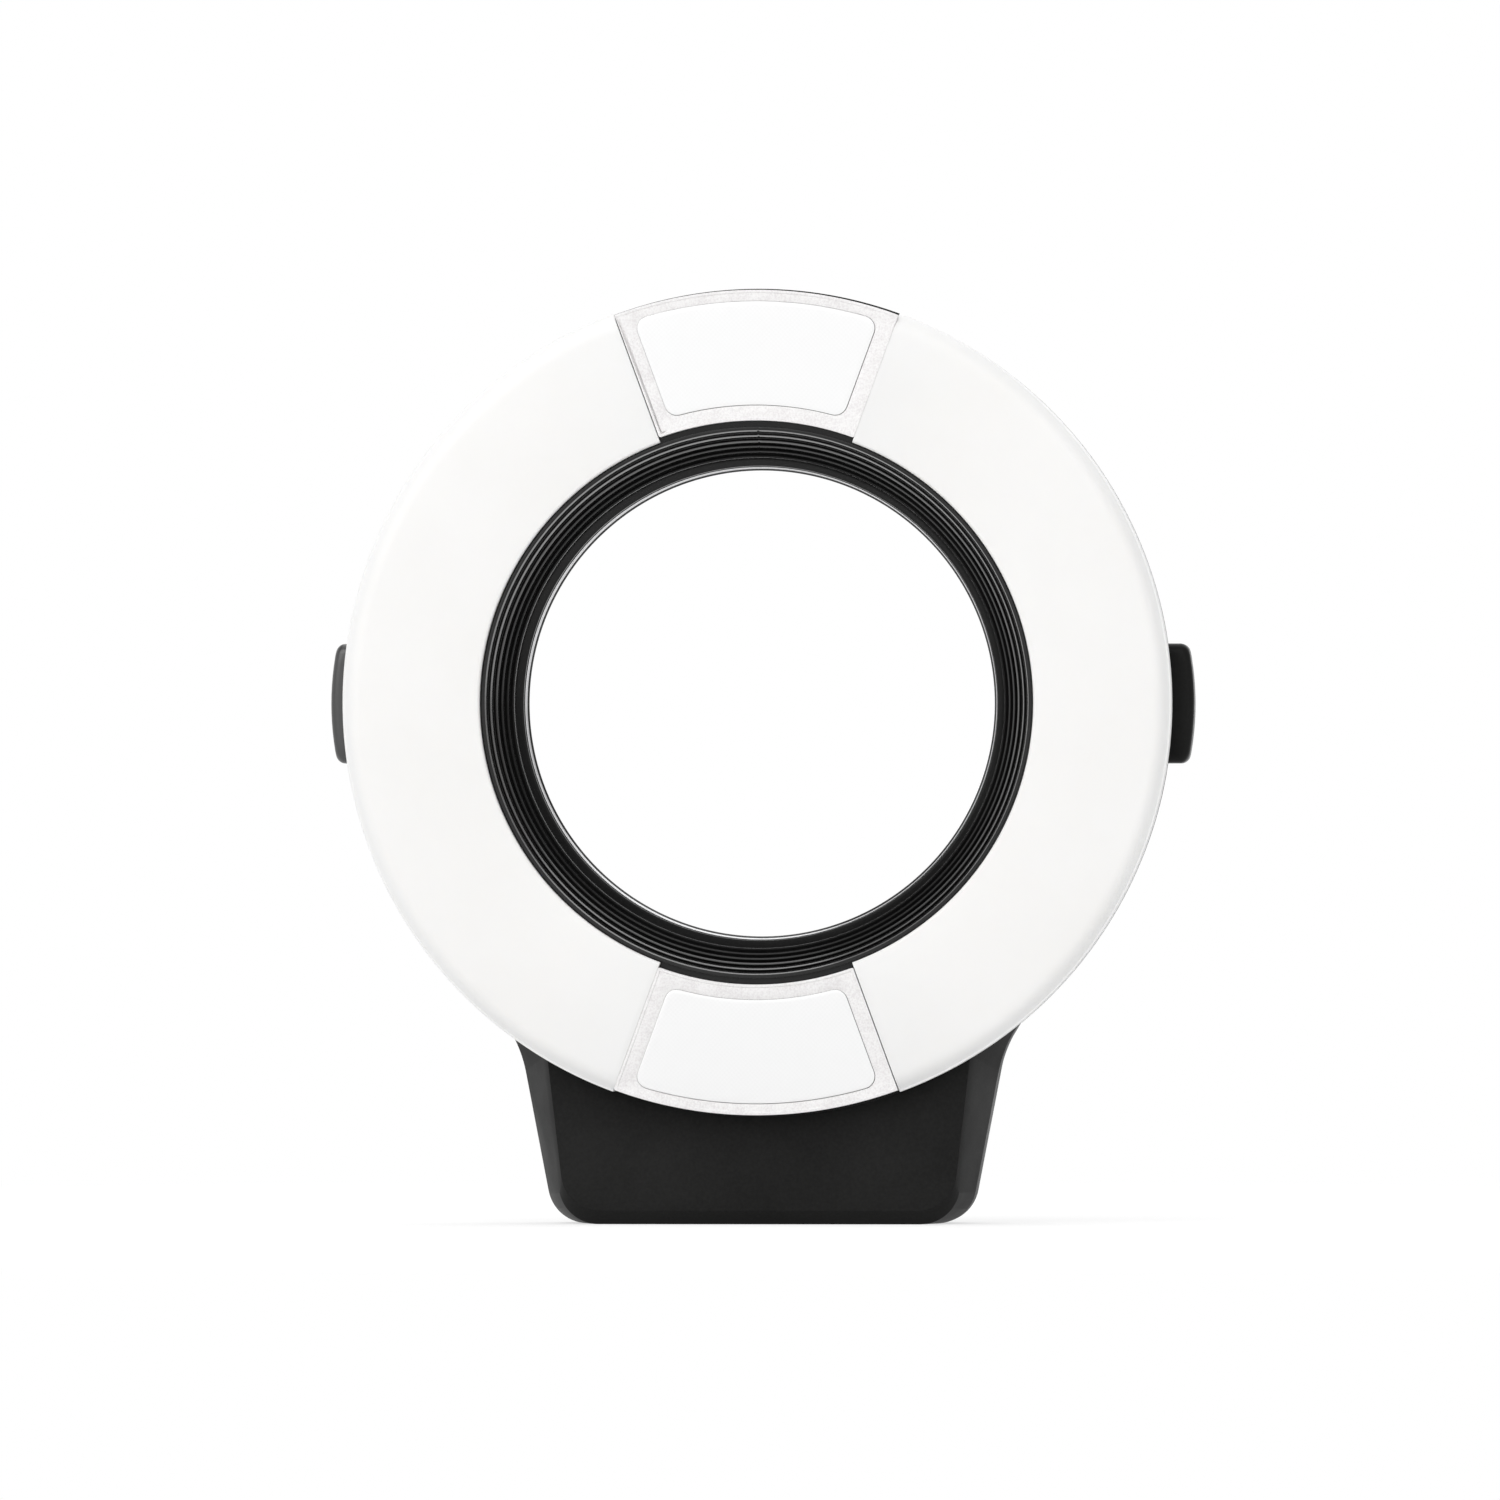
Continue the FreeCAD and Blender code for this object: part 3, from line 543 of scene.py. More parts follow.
def turned_metal(name, dark, light, rough, marks, black_from=None):
    """Metal with concentric tool marks round the optical axis, dark behind a depth."""
    m = Surface(name)
    m.set(Metallic=1.0)
    groove = m.add("ShaderNodeTexNoise", noise_dimensions="1D")
    groove.inputs["Scale"].default_value = 1.0
    groove.inputs["Detail"].default_value = 3.0
    m.join(m.math("MULTIPLY", m.math("ADD", m.radius(), m.axis(1)), marks), groove.inputs["W"])
    lines = groove.outputs["Fac"]
    tone = m.two_tone(lines, dark, light, 0.3, 0.7)
    if black_from:
        # Nearly black from the depth black_from to the rear.
        behind = m.spread(m.axis(1), 0.0, 1.0, -(black_from + 0.03) * MM, -black_from * MM)
        tone = m.blend(behind, tone, m.two_tone(lines, grey(0.02), grey(0.05), 0.3, 0.7))
    m.colour(tone)
    m.roughness(m.spread(m.noise(300, detail=3), rough, rough + 0.1))
    m.bump(lines, 0.004)
    return m.material


def brushed_metal(name, dark, light, rough, stretch):
    """Sheet or bar metal with fine drawn lines along one direction."""
    m = Surface(name)
    m.set(Metallic=1.0)
    lines = m.noise(1.0, detail=4, rough=0.65, stretch=stretch)
    smudge = m.noise(120, detail=4)
    m.colour(m.two_tone(m.weighed(lines, 0.7, smudge), dark, light))
    m.roughness(m.spread(smudge, rough, rough + 0.12))
    m.bump(lines, 0.003)
    return m.material


def soft_rubber(name, dark, light, rough):
    m = Surface(name)
    m.set(Specular_IOR_Level=0.35, Sheen_Weight=0.2)
    bloom = m.noise(240, detail=4)
    m.colour(m.two_tone(bloom, dark, light))
    m.roughness(m.spread(bloom, rough - 0.06, rough + 0.08))
    m.bump(m.noise(2800, detail=2), 0.01)
    return m.material


def lacquered_board():
    """Green lacquer over copper traces, which show lighter and stand out a little."""
    m = Surface("circuit_board")
    m.set(Specular_IOR_Level=0.5, Coat_Weight=0.3, Coat_Roughness=0.2)
    trace = m.add("ShaderNodeTexBrick")
    sizes = (("Scale", 1.0), ("Mortar Size", 0.18 * MM), ("Brick Width", 3.4 * MM), ("Row Height", 1.1 * MM))
    for key, value in sizes:
        trace.inputs[key].default_value = value
    swap = m.add("ShaderNodeCombineXYZ")
    m.join(m.axis(0), swap.inputs["X"])
    m.join(m.axis(2), swap.inputs["Y"])
    m.join(swap.outputs["Vector"], trace.inputs["Vector"])
    cloud = m.noise(260, detail=3)
    green = m.two_tone(cloud, (0.012, 0.09, 0.035), (0.018, 0.12, 0.05))
    lines = m.two_tone(cloud, (0.03, 0.17, 0.07), (0.045, 0.2, 0.09))
    m.colour(m.blend(trace.outputs["Fac"], green, lines))
    m.roughness(m.spread(cloud, 0.3, 0.42))
    m.bump(trace.outputs["Fac"], 0.02)
    return m.material


def led_package():
    """White square package with yellow phosphor on its front."""
    m = Surface("led_package")
    m.set(Specular_IOR_Level=0.5, Coat_Weight=0.4, Coat_Roughness=0.15)
    grain = m.noise(1500, detail=2)
    normal = m.parts(m.add("ShaderNodeNewGeometry").outputs["Normal"])
    facing = m.spread(m.math("MULTIPLY", normal["Y"], -1.0), 0.0, 1.0, 0.6, 0.9)
    white = m.two_tone(grain, (0.8, 0.8, 0.77), (0.88, 0.88, 0.85), 0.3, 0.7)
    yellow = m.two_tone(grain, (0.78, 0.66, 0.2), (0.86, 0.75, 0.3), 0.3, 0.7)
    m.colour(m.blend(facing, white, yellow))
    m.roughness(m.spread(grain, 0.28, 0.4))
    m.bump(grain, 0.008)
    return m.material


def copper_winding():
    """Enamelled wire laid turn by turn round the coil, with painted shade between the turns and a painted
    highlight on their tops.
    """
    m = Surface("copper_winding")
    m.set(Metallic=0.85, Coat_Weight=0.5, Coat_Roughness=0.12)
    waves = 26000.0
    wire = m.math("SINE", m.math("MULTIPLY", m.axis(1), waves))
    tone = m.spread(wire, 0.0, 1.0, -1.0, 1.0)
    # Painted shade and highlight: dark between the turns, bright on their tops.
    m.colour(m.two_tone(tone, (0.26, 0.09, 0.035), (0.66, 0.28, 0.12), 0.1, 0.8))
    m.roughness(m.spread(m.noise(400, detail=3), 0.22, 0.36))
    m.bump(tone, 0.06)
    return m.material


def capacitor_sleeve():
    """Dark shrink sleeve with a bare metal top."""
    m = Surface("capacitor_sleeve")
    m.set(Specular_IOR_Level=0.5)
    top = m.spread(m.math("MULTIPLY", m.axis(1), -1.0), 0.0, 1.0, 18.35 * MM, 18.45 * MM)
    cloud = m.noise(350, detail=3)
    sleeve = m.two_tone(cloud, (0.018, 0.022, 0.05), (0.026, 0.032, 0.07))
    metal = m.two_tone(cloud, (0.5, 0.5, 0.51), (0.62, 0.62, 0.63))
    m.colour(m.blend(top, sleeve, metal))
    m.join(top, m.shader.inputs["Metallic"])
    m.roughness(m.spread(cloud, 0.22, 0.34))
    m.bump(m.noise(1400), 0.006)
    return m.material


def tube_glass():
    m = Surface("tube_glass")
    m.set(Transmission_Weight=0.9, IOR=1.47)
    haze = m.noise(180, detail=4)
    m.colour(m.two_tone(haze, (0.93, 0.95, 0.96), (0.98, 0.99, 1.0), 0.3, 0.7))
    m.roughness(m.spread(haze, 0.02, 0.08))
    m.bump(m.noise(90, detail=1), 0.01)
    return m.material


def shown_rays(graph):
    """1 for the rays that show the background: camera, glossy and transmission rays."""
    ray = graph.add("ShaderNodeLightPath").outputs
    seen = graph.math("MAXIMUM", ray["Is Camera Ray"], ray["Is Glossy Ray"])
    return graph.math("MAXIMUM", seen, ray["Is Transmission Ray"])


def floor_paper():
    """Pale studio floor: white in the background, and it keeps the object's shadow."""
    material = bpy.data.materials.new("studio_floor")
    material.use_nodes = True
    graph = Graph(material.node_tree)
    graph.tree.nodes.clear()

    def diffuse(value):
        node = graph.add("ShaderNodeBsdfDiffuse")
        node.inputs["Color"].default_value = (*grey(value), 1)
        return node.outputs[0]

    def glowing(strength):
        node = graph.add("ShaderNodeEmission")
        node.inputs["Strength"].default_value = strength
        return node.outputs[0]

    def combined(kind, *sources):
        node = graph.add(kind)
        for index, source in enumerate(sources):
            graph.join(source, node.inputs[index])
        return node.outputs[0]

    away = graph.add("ShaderNodeVectorMath", operation="LENGTH")
    graph.join(graph.add("ShaderNodeTexCoord").outputs["Object"], away.inputs[0])
    shadow_reach, white_from = 0.16, 0.4
    far = graph.spread(away.outputs["Value"], 0.0, 1.0, shadow_reach, white_from, "SMOOTHSTEP")
    lit = combined("ShaderNodeAddShader", diffuse(0.45), glowing(0.62))
    seen = combined("ShaderNodeMixShader", far, lit, glowing(1.0))
    whole = combined("ShaderNodeMixShader", shown_rays(graph), diffuse(0.75), seen)
    output = graph.add("ShaderNodeOutputMaterial")
    graph.join(whole, output.inputs["Surface"])
    return material


BLACK = moulded_plastic("body_satin_black", (0.013, 0.013, 0.0128), (0.021, 0.021, 0.0206),
                        0.42, 2400, 0.006, level=0.05)
# The left button gets a painted highlight: it reflects ten times as much as the right one.
BUTTON = moulded_plastic("button_satin_black", (0.008, 0.008, 0.0078), (0.013, 0.013, 0.0127),
                         0.3, 2000, 0.004, level=0.1, painted_left_sheen=1.0)
MILKY = milky_plastic()
FROSTED = frosted_plastic()
WINDOW = window_plastic()
BAFFLE = baffle_plastic()
SILVER = turned_metal("bore_ring_silver", (0.7, 0.7, 0.71), (0.88, 0.88, 0.89), 0.28, 26000.0, 10.99)
STEEL = brushed_metal("latch_steel", (0.46, 0.46, 0.48), (0.66, 0.66, 0.68), 0.26, (900.0, 900.0, 40.0))
SPRING = brushed_metal("spring_steel", (0.4, 0.4, 0.41), (0.62, 0.62, 0.63), 0.22, (60.0, 1400.0, 1400.0))
REFLECTOR = brushed_metal("reflector_sheet", (0.76, 0.76, 0.77), (0.88, 0.88, 0.89), 0.08,
                          (500.0, 60.0, 500.0))
ELECTRODE = brushed_metal("electrode_metal", (0.4, 0.4, 0.41), (0.6, 0.6, 0.6), 0.3, (300.0, 2000.0, 300.0))
SCREW = turned_metal("screw_blackened", (0.035, 0.035, 0.037), (0.075, 0.075, 0.08), 0.3, 18000.0)
RUBBER = soft_rubber("gland_rubber", (0.012, 0.012, 0.012), (0.024, 0.024, 0.025), 0.62)
BOOT = soft_rubber("boot_silicone", (0.62, 0.62, 0.6), (0.74, 0.74, 0.72), 0.5)
BOARD = lacquered_board()
LED = led_package()
COPPER = copper_winding()
CAN = capacitor_sleeve()
SOCKET = moulded_plastic("connector_nylon", (0.7, 0.69, 0.64), (0.8, 0.79, 0.74), 0.4, 1800, 0.006)
GLASS = tube_glass()


# Milky covers of the flash tubes

def build_diffusers():
    profile = rounded([
        (FLASH_INNER, FLANGE_FRONT, 0),
        (FLASH_INNER, FRONT, 0.45),
        (COVER_RADIUS - 1.75, FRONT, 3.2),
        (COVER_RADIUS - 0.3, FRONT - 1.1, 0.08),
        (COVER_RADIUS, FRONT - 1.12, 0.12),
        (COVER_RADIUS, SKIRT_REAR, 0.25),
        (COVER_RADIUS - COVER_WALL, SKIRT_REAR, 0),
        (COVER_RADIUS - COVER_WALL, FRONT - COVER_WALL, 0.6),
        (FLASH_INNER + COVER_WALL, FRONT - COVER_WALL, 0.4),
        (FLASH_INNER + COVER_WALL, FLANGE_FRONT, 0),
    ], 5)
    bm = bmesh.new()
    add_arc_lathe(bm, profile, lambda r: SEAM_ANGLE - math.degrees(math.asin(HALF_SEAM / r)), 132)
    right = finished("flash_diffuser_right", bm, MILKY, bevel=0.07, bevel_angle=60)
    stands_for(right, "housing", "flash_diffuser_b")
    left = mirrored(right, "flash_diffuser_left", "housing", "flash_diffuser_a")


# Frames and windows of the focus lights

def sector_loop(inner, outer, inset, corner, left_inset=None, arc_steps=44, side_steps=14, corner_steps=6):
    """Outline of a ring sector about +Z with rounded corners, its sides parallel to the seams."""
    angle = math.radians(SEAM_ANGLE)
    along = Vector((math.cos(angle), math.sin(angle)))
    inward = Vector((-math.sin(angle), math.cos(angle)))

    def side_line(inset):
        """Points from the inner arc's end to the outer arc's, for the right side."""
        offset = inset + corner
        far_centre = along * math.sqrt((outer - corner) ** 2 - offset ** 2) + inward * offset
        near_centre = along * math.sqrt((inner + corner) ** 2 - offset ** 2) + inward * offset
        far_side, near_side = far_centre - inward * corner, near_centre - inward * corner
        line = arc_between(near_centre.normalized() * inner, near_side, near_centre, corner_steps)
        for k in range(1, side_steps):
            spot = near_side.lerp(far_side, k / side_steps)
            line.append((spot.x, spot.y))
        return line + arc_between(far_side, far_centre.normalized() * outer, far_centre, corner_steps)

    right = side_line(inset)
    left = [(-x, z) for x, z in reversed(side_line(inset if left_inset is None else left_inset))]

    def arc(start, stop):
        """Points between two points of one arc, without its ends."""
        first, last = math.atan2(start[1], start[0]), math.atan2(stop[1], stop[0])
        radius = math.hypot(*start)
        angles = [first + (last - first) * k / arc_steps for k in range(1, arc_steps)]
        return [(radius * math.cos(a), radius * math.sin(a)) for a in angles]

    return right + arc(right[-1], left[0]) + left + arc(left[-1], right[0])


def from_left_seam(x, z):
    """Distance to the right of the left seam's line, square to it."""
    angle = math.radians(SEAM_ANGLE)
    return x * math.sin(angle) + z * math.cos(angle)


def build_focus_light(name, flip, bezel, lens):
    """Frame and window of the upper light, or of the lower one, turned over, where flip is -1."""
    gap = HALF_SEAM
    # The frame stands off the right cover by right_joint, and off the left one by the seam less narrowing
    right_joint, narrowing = 0.015, 0.06
    bead_start, bead_end, rim_share = 0.05, 0.65, 0.25
    groove_width, groove_end, groove_depth = 0.8, 0.9, 0.6
    rim_inset = 0.34
    inner, outer = BEZEL_INNER, COVER_RADIUS - rim_inset
    angle = math.radians(SEAM_ANGLE)
    back = FRONT - COVER_WALL
    level = FRONT - FACE_DROP

    def frame_loop(move, corner=0.3):
        """The upper frame closes on the cover to its right; to its left it leaves a fine joint.

        The bead along that joint grows narrower towards the rim.
        """
        points = []
        outline = sector_loop(inner + move, outer - move, move - gap + right_joint, corner,
                              gap - narrowing + move)
        for x, z in outline:
            reach = from_left_seam(x, z) - gap + narrowing
            if bead_start < reach < bead_end:
                taper = rim_share + (1 - rim_share) * (outer - math.hypot(x, z)) / (outer - inner)
                x -= reach * (1 - taper) * math.sin(angle)
                z -= reach * (1 - taper) * math.cos(angle)
            points.append((x, z))
        return points

    def window_loop(move):
        return sector_loop(WINDOW_INNER - move, WINDOW_OUTER + move, WINDOW_BORDER - move,
                           WINDOW_CORNER + move)

    def groove(loop):
        """The bead's foot, cut deeper along the upper frame's joint."""
        def cut(x, z):
            beside = x < 0 and from_left_seam(x, z) < groove_width and math.hypot(x, z) < outer - groove_end
            return groove_depth if beside and flip > 0 else 0.0

        return [(x, cut(x, z) - level, z) for x, z in loop]

    def skirt(loop):
        """The loop on the flange near the bore, and at the skirt's rear elsewhere."""
        points = []
        for x, z in loop:
            depth = FLANGE_FRONT if math.hypot(x, z) < FLANGE_RADIUS else SKIRT_REAR
            points.append((x, -depth, z))
        return points

    def skin(loops, turn, **caps):
        bm = bmesh.new()
        add_loops(bm, [[(turn * x, y, flip * z) for x, y, z in loop] for loop in loops], **caps)
        return bm

    inside = sector_loop(inner + COVER_WALL, outer - COVER_WALL, gap + COVER_WALL, 0.4)
    bm = skin([
        in_space(window_loop(0), back),
        in_space(window_loop(0), level - 0.12),
        in_space(window_loop(0.03), level - 0.03),
        in_space(window_loop(0.09), level),
        in_space(frame_loop(0.66, 0.1), level),
        groove(frame_loop(0.64, 0.1)),
        groove(frame_loop(0.46, 0.12)),
        in_space(frame_loop(0.44, 0.12), level + 0.02),
        in_space(frame_loop(0.38, 0.14), FRONT),
        in_space(frame_loop(0.04, 0.26), FRONT),
        in_space(frame_loop(0.0), FRONT - 0.04),
        skirt(frame_loop(0.0)),
        skirt(inside),
        in_space(inside, back),
    ], flip, close=True)
    frame_part = finished("focus_frame_" + name, bm, FROSTED, sharp=38)
    stands_for(frame_part, "housing", bezel)

    play, round_limit = 0.05, 1.2
    left_shift, up_shift = 0.04, 0.03

    def pane_loop(move, depth):
        """The pane sits against the upper left of its opening."""
        loop = sector_loop(WINDOW_INNER + play + move, WINDOW_OUTER - play - move,
                           WINDOW_BORDER + play + move, WINDOW_CORNER - play - min(move, round_limit))
        return [(x - left_shift, -depth, z + up_shift * flip) for x, z in loop]

    face, edge, crown_width, crown, foot = level - 0.02, 0.08, 4.9, 0.06, 1.0
    loops = [
        pane_loop(0, back - foot),
        pane_loop(0, face - edge),
        pane_loop(0.03, face - 0.02),
        pane_loop(edge, face),
    ]
    crown_steps = 8
    for step in range(1, crown_steps + 1):
        share = step / crown_steps
        loops.append(pane_loop(edge + crown_width * share, face + crown * (1 - (1 - share) ** 2)))
    bm = skin(loops, 1, cap_first=True, cap_last=True)
    pane = finished("focus_window_" + name, bm, WINDOW, sharp=40)
    stands_for(pane, "housing", lens)


def build_focus_lights():
    build_focus_light("upper", 1, "focus_bezel_top", "focus_lens_top")
    build_focus_light("lower", -1, "focus_bezel_bottom", "focus_lens_bottom")


# Ribbed funnel and the bright ring at its end

def funnel_profile(worn=0.0):
    """Section of the funnel: a flat lip, saw-tooth ribs and a cone.

    Worn takes the crests down a little, except the last one.
    """
    corners = [(LIP_RADIUS, LIP_FRONT, 0.12)]
    radius, depth = LIP_RADIUS - LIP_WIDTH, LIP_FRONT
    slot_draft = 0.08
    for rib in RIBS:
        face, slope, slot = rib
        wear = 0.0 if rib == RIBS[-1] else worn
        corners.append((radius + wear, depth - wear, 0.04))
        corners.append((radius - face + wear, depth - face / math.tan(math.radians(slope)), 0.04))
        corners.append((radius - face - slot_draft, depth - slot, 0.03))
        radius -= RIB_PITCH
        depth -= RIB_STEP
    corners += [
        (THROAT + 0.97, BORE_RING_FRONT + 2.27, 0.02),
        (THROAT + 0.2, BORE_RING_FRONT + 1.65, 0.06),
        (THROAT - 0.12, BORE_RING_FRONT + 1.6, 0.06),
        (THROAT - 0.19, BORE_RING_FRONT + 0.55, 0.03),
        (FUNNEL_END, BORE_RING_FRONT + 0.5, 0),
        (FUNNEL_END, BORE_RING_FRONT, 0),
        (BAFFLE_OUTER, BORE_RING_FRONT, 0),
        (BAFFLE_OUTER, FLANGE_REAR, 0),
        (FLANGE_RADIUS, FLANGE_REAR, 0),
        (FLANGE_RADIUS, FLANGE_FRONT, 0),
        (LIP_RADIUS, FLANGE_FRONT, 0),
    ]
    return rounded(corners, 4)


def build_throat():
    steps = 288
    plain = funnel_profile()
    line = funnel_profile(0.09)
    mould_line = [(89.5, plain), (89.62, line), (89.78, line), (89.9, plain)]
    bm = bmesh.new()
    add_lathe(bm, plain, steps, notches=mould_line)
    baffle = finished("ribbed_funnel", bm, BAFFLE, sharp=50)
    stands_for(baffle, "housing", "ribbed_baffle")

    bm = bmesh.new()
    add_lathe(bm, rounded([
        (BORE, THROAT_REAR, 0.1),
        (BORE_RING_OUTER, THROAT_REAR, 0.15),
        (BORE_RING_OUTER, BORE_RING_FRONT, 0),
        (FUNNEL_END, BORE_RING_FRONT, 0),
        (FUNNEL_END - 0.02, BORE_RING_LIP, 0.03),
        (BORE + 0.43, BORE_RING_LIP, 0.03),
        (BORE + 0.39, THROAT_REAR + 1.4, 0.1),
        (BORE + 0.28, THROAT_REAR + 0.7, 0),
        (BORE, THROAT_REAR + 0.42, 0),
    ], 3), steps)
    bright = finished("throat_ring", bm, SILVER, sharp=50)
    stands_for(bright, "housing", "bore_ring")


# Main shell

def box_edge(depth, inset, reach):
    """Sides and bottom of the box at a depth, from left to right.

    Both ends lie where the flare meets the radius reach.
    """
    along = max(0.0, depth - BOX_BEVEL_START) / (BOX_FRONT - BOX_BEVEL_START)
    side = inset + BOX_BEVEL_INSET * along
    toe = max(0.0, depth - BOX_FRONT + BOX_TOE) / BOX_TOE
    floor = BOX_BOTTOM + inset + BOX_TOE * toe
    shoulder = BOX_SHOULDER - side
    foot = BOX_FOOT - side / 2 - inset / 2
    rise, step = FLARE_TOP, 0.01
    while math.hypot(shoulder + (rise - BOX_SHOULDER_Z) / FLARE_SLOPE, rise) < reach:
        rise -= step
    edge = shoulder + (rise - BOX_SHOULDER_Z) / FLARE_SLOPE
    widest_bend, bend_share = 20.0, 3.4
    bend = min(widest_bend, bend_share * (rise - BOX_SHOULDER_Z))
    return rounded([
        (-edge, rise, 0),
        (-shoulder, BOX_SHOULDER_Z, bend),
        (-foot, floor, BOX_CORNER),
        (foot, floor, BOX_CORNER),
        (shoulder, BOX_SHOULDER_Z, bend),
        (edge, rise, 0),
    ], 14)


def around(lower, turn, steps):
    """Lower closed by an arc between its ends, without repeated points.

    The arc runs under the ring's top where turn is -1, and over it where turn is 1.
    """
    left, right = lower[0], lower[-1]
    radius = math.hypot(*left)
    start = math.atan2(right[1], right[0])
    stop = math.atan2(left[1], left[0])
    sweep = (stop - start) if turn < 0 else (stop + TURN - start)
    angles = [start + sweep * k / steps for k in range(1, steps)]
    return lower + [(radius * math.cos(a), radius * math.sin(a)) for a in angles]


def box_outline(depth):
    """Section of the box at a depth, its top edge hidden in the ring's wall."""
    hidden, top_steps = 0.9, 40
    return around(box_edge(depth, 0.0, BODY_RADIUS - hidden), -1, top_steps)


def build_shell():
    rim_front = SKIRT_REAR - 0.08
    partition_bore = BORE_RING_OUTER + 0.05
    past_inside, past_outside, sill = 3, 4, 1.0
    sharp = 32
    bm = bmesh.new()
    add_lathe(bm, rounded([
        (BODY_RADIUS, COVER_THICKNESS, 0.2),
        (BODY_RADIUS, SKIRT_REAR - 1.9, 0.15),
        (COVER_RADIUS, SKIRT_REAR - 1.5, 0.2),
        (COVER_RADIUS, rim_front, 0.1),
        (BODY_BORE, rim_front, 0),
        (BODY_BORE, PARTITION_FRONT, 0),
        (partition_bore, PARTITION_FRONT, 0),
        (partition_bore, PARTITION_REAR, 0),
        (BODY_BORE, PARTITION_REAR, 0),
        (BODY_BORE, COVER_THICKNESS, 0),
    ], 3), 256)
    ring = finished("ring_shell", bm, BLACK, sharp=sharp)
    for side in (-1, 1):
        carve(ring, side, BODY_BORE - past_inside, BODY_RADIUS + past_outside, COVER_THICKNESS - sill,
              BUTTON_FRONT + BUTTON_CLEARANCE, BUTTON_HALF + BUTTON_CLEARANCE)
    shade(ring, sharp)
    stands_for(ring, "housing", "front_body")

    bm = bmesh.new()
    depths = [COVER_THICKNESS, BOX_BEVEL_START, BOX_FRONT - BOX_TOE, BOX_FRONT]
    add_loops(bm, [in_space(box_outline(depth), depth) for depth in depths], cap_first=True, cap_last=True)
    box = finished("lower_box", bm, BLACK, sharp=24, bevel=0.55, bevel_angle=12, segments=4)
    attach(box, "housing")


# Rear cover with the adapter seat

def build_rear_cover():
    bevel = 0.8
    seat_bevel, register_bevel = 0.4, 0.2
    hole_edge = 0.15
    hook_half = 6.3
    sharp = 30
    bm = bmesh.new()
    rear_holes, front_holes = [], []

    def row(points, depth):
        return [bm.verts.new(point) for point in in_space(points, depth)]

    def outline(inset):
        return around(box_edge(COVER_THICKNESS, inset, BODY_RADIUS - inset), 1, 200)

    def hole(x, z, steps, rings):
        """Stepped hole through the cover, from circles of (radius, depth)."""
        rows = [row(circle(radius, x, z, steps), depth) for radius, depth in rings]
        for near, far in zip(rows, rows[1:]):
            join_rows(bm, near, far)
        rear_holes.append(rows[0])
        front_holes.append(rows[-1])

    rear = row(outline(bevel), 0)
    shoulder = row(outline(0.0), bevel)
    rim = row(outline(0.0), COVER_THICKNESS)
    join_rows(bm, rear, shoulder)
    join_rows(bm, shoulder, rim)
    hole(0, 0, 192, [
        (SEAT_RADIUS + seat_bevel, 0),
        (SEAT_RADIUS, seat_bevel),
        (SEAT_RADIUS, REGISTER_REAR),
        (REGISTER_RADIUS + register_bevel, REGISTER_REAR),
        (REGISTER_RADIUS, REGISTER_REAR + register_bevel),
        (REGISTER_RADIUS, SEAT_DEPTH),
        (SEAT_OUTER, SEAT_DEPTH),
        (SEAT_OUTER, COVER_THICKNESS),
    ])
    for x, z in COVER_SCREWS:
        hole(x, z, 40, [(2.05, 0), (1.9, hole_edge), (1.9, 1.2), (0.9, 1.2), (0.9, COVER_THICKNESS)])
    hole(0, GLAND_Z, 56, [(4.4, 0), (4.25, hole_edge), (4.25, COVER_THICKNESS)])
    add_filled(bm, rear, rear_holes)
    add_filled(bm, rim, front_holes)
    cover = finished("back_cover", bm, BLACK, sharp=sharp)
    for side, low, high in ((-1, 2.25, 4.05), (1, 3.8, 5.6)):
        carve(cover, side, REGISTER_RADIUS, SEAT_OUTER + 1, low, high, hook_half)
    shade(cover, sharp)
    stands_for(cover, "housing", "rear_cover")


# Release buttons

def button_loop(half_depth, half_height, corner, x, crown):
    """Rounded rectangle across the button, its middle pushed out by the crown."""
    middle = (BUTTON_REAR + BUTTON_FRONT) / 2
    corner_steps, side_steps = 6, 10
    points = rounded([(half_depth, half_height, corner), (-half_depth, half_height, corner),
                      (-half_depth, -half_height, corner), (half_depth, -half_height, corner)], corner_steps)
    loop = []
    count = len(points)
    for k in range(count):
        a, b = points[k], points[(k + 1) % count]
        ends_corner = k % (corner_steps + 1) == corner_steps
        pieces = side_steps if ends_corner else 1
        for part in range(pieces):
            u = a[0] + (b[0] - a[0]) * part / pieces
            v = a[1] + (b[1] - a[1]) * part / pieces
            loop.append((x - crown * (v / BUTTON_HALF) ** 2, -(middle + u), v))
    return loop


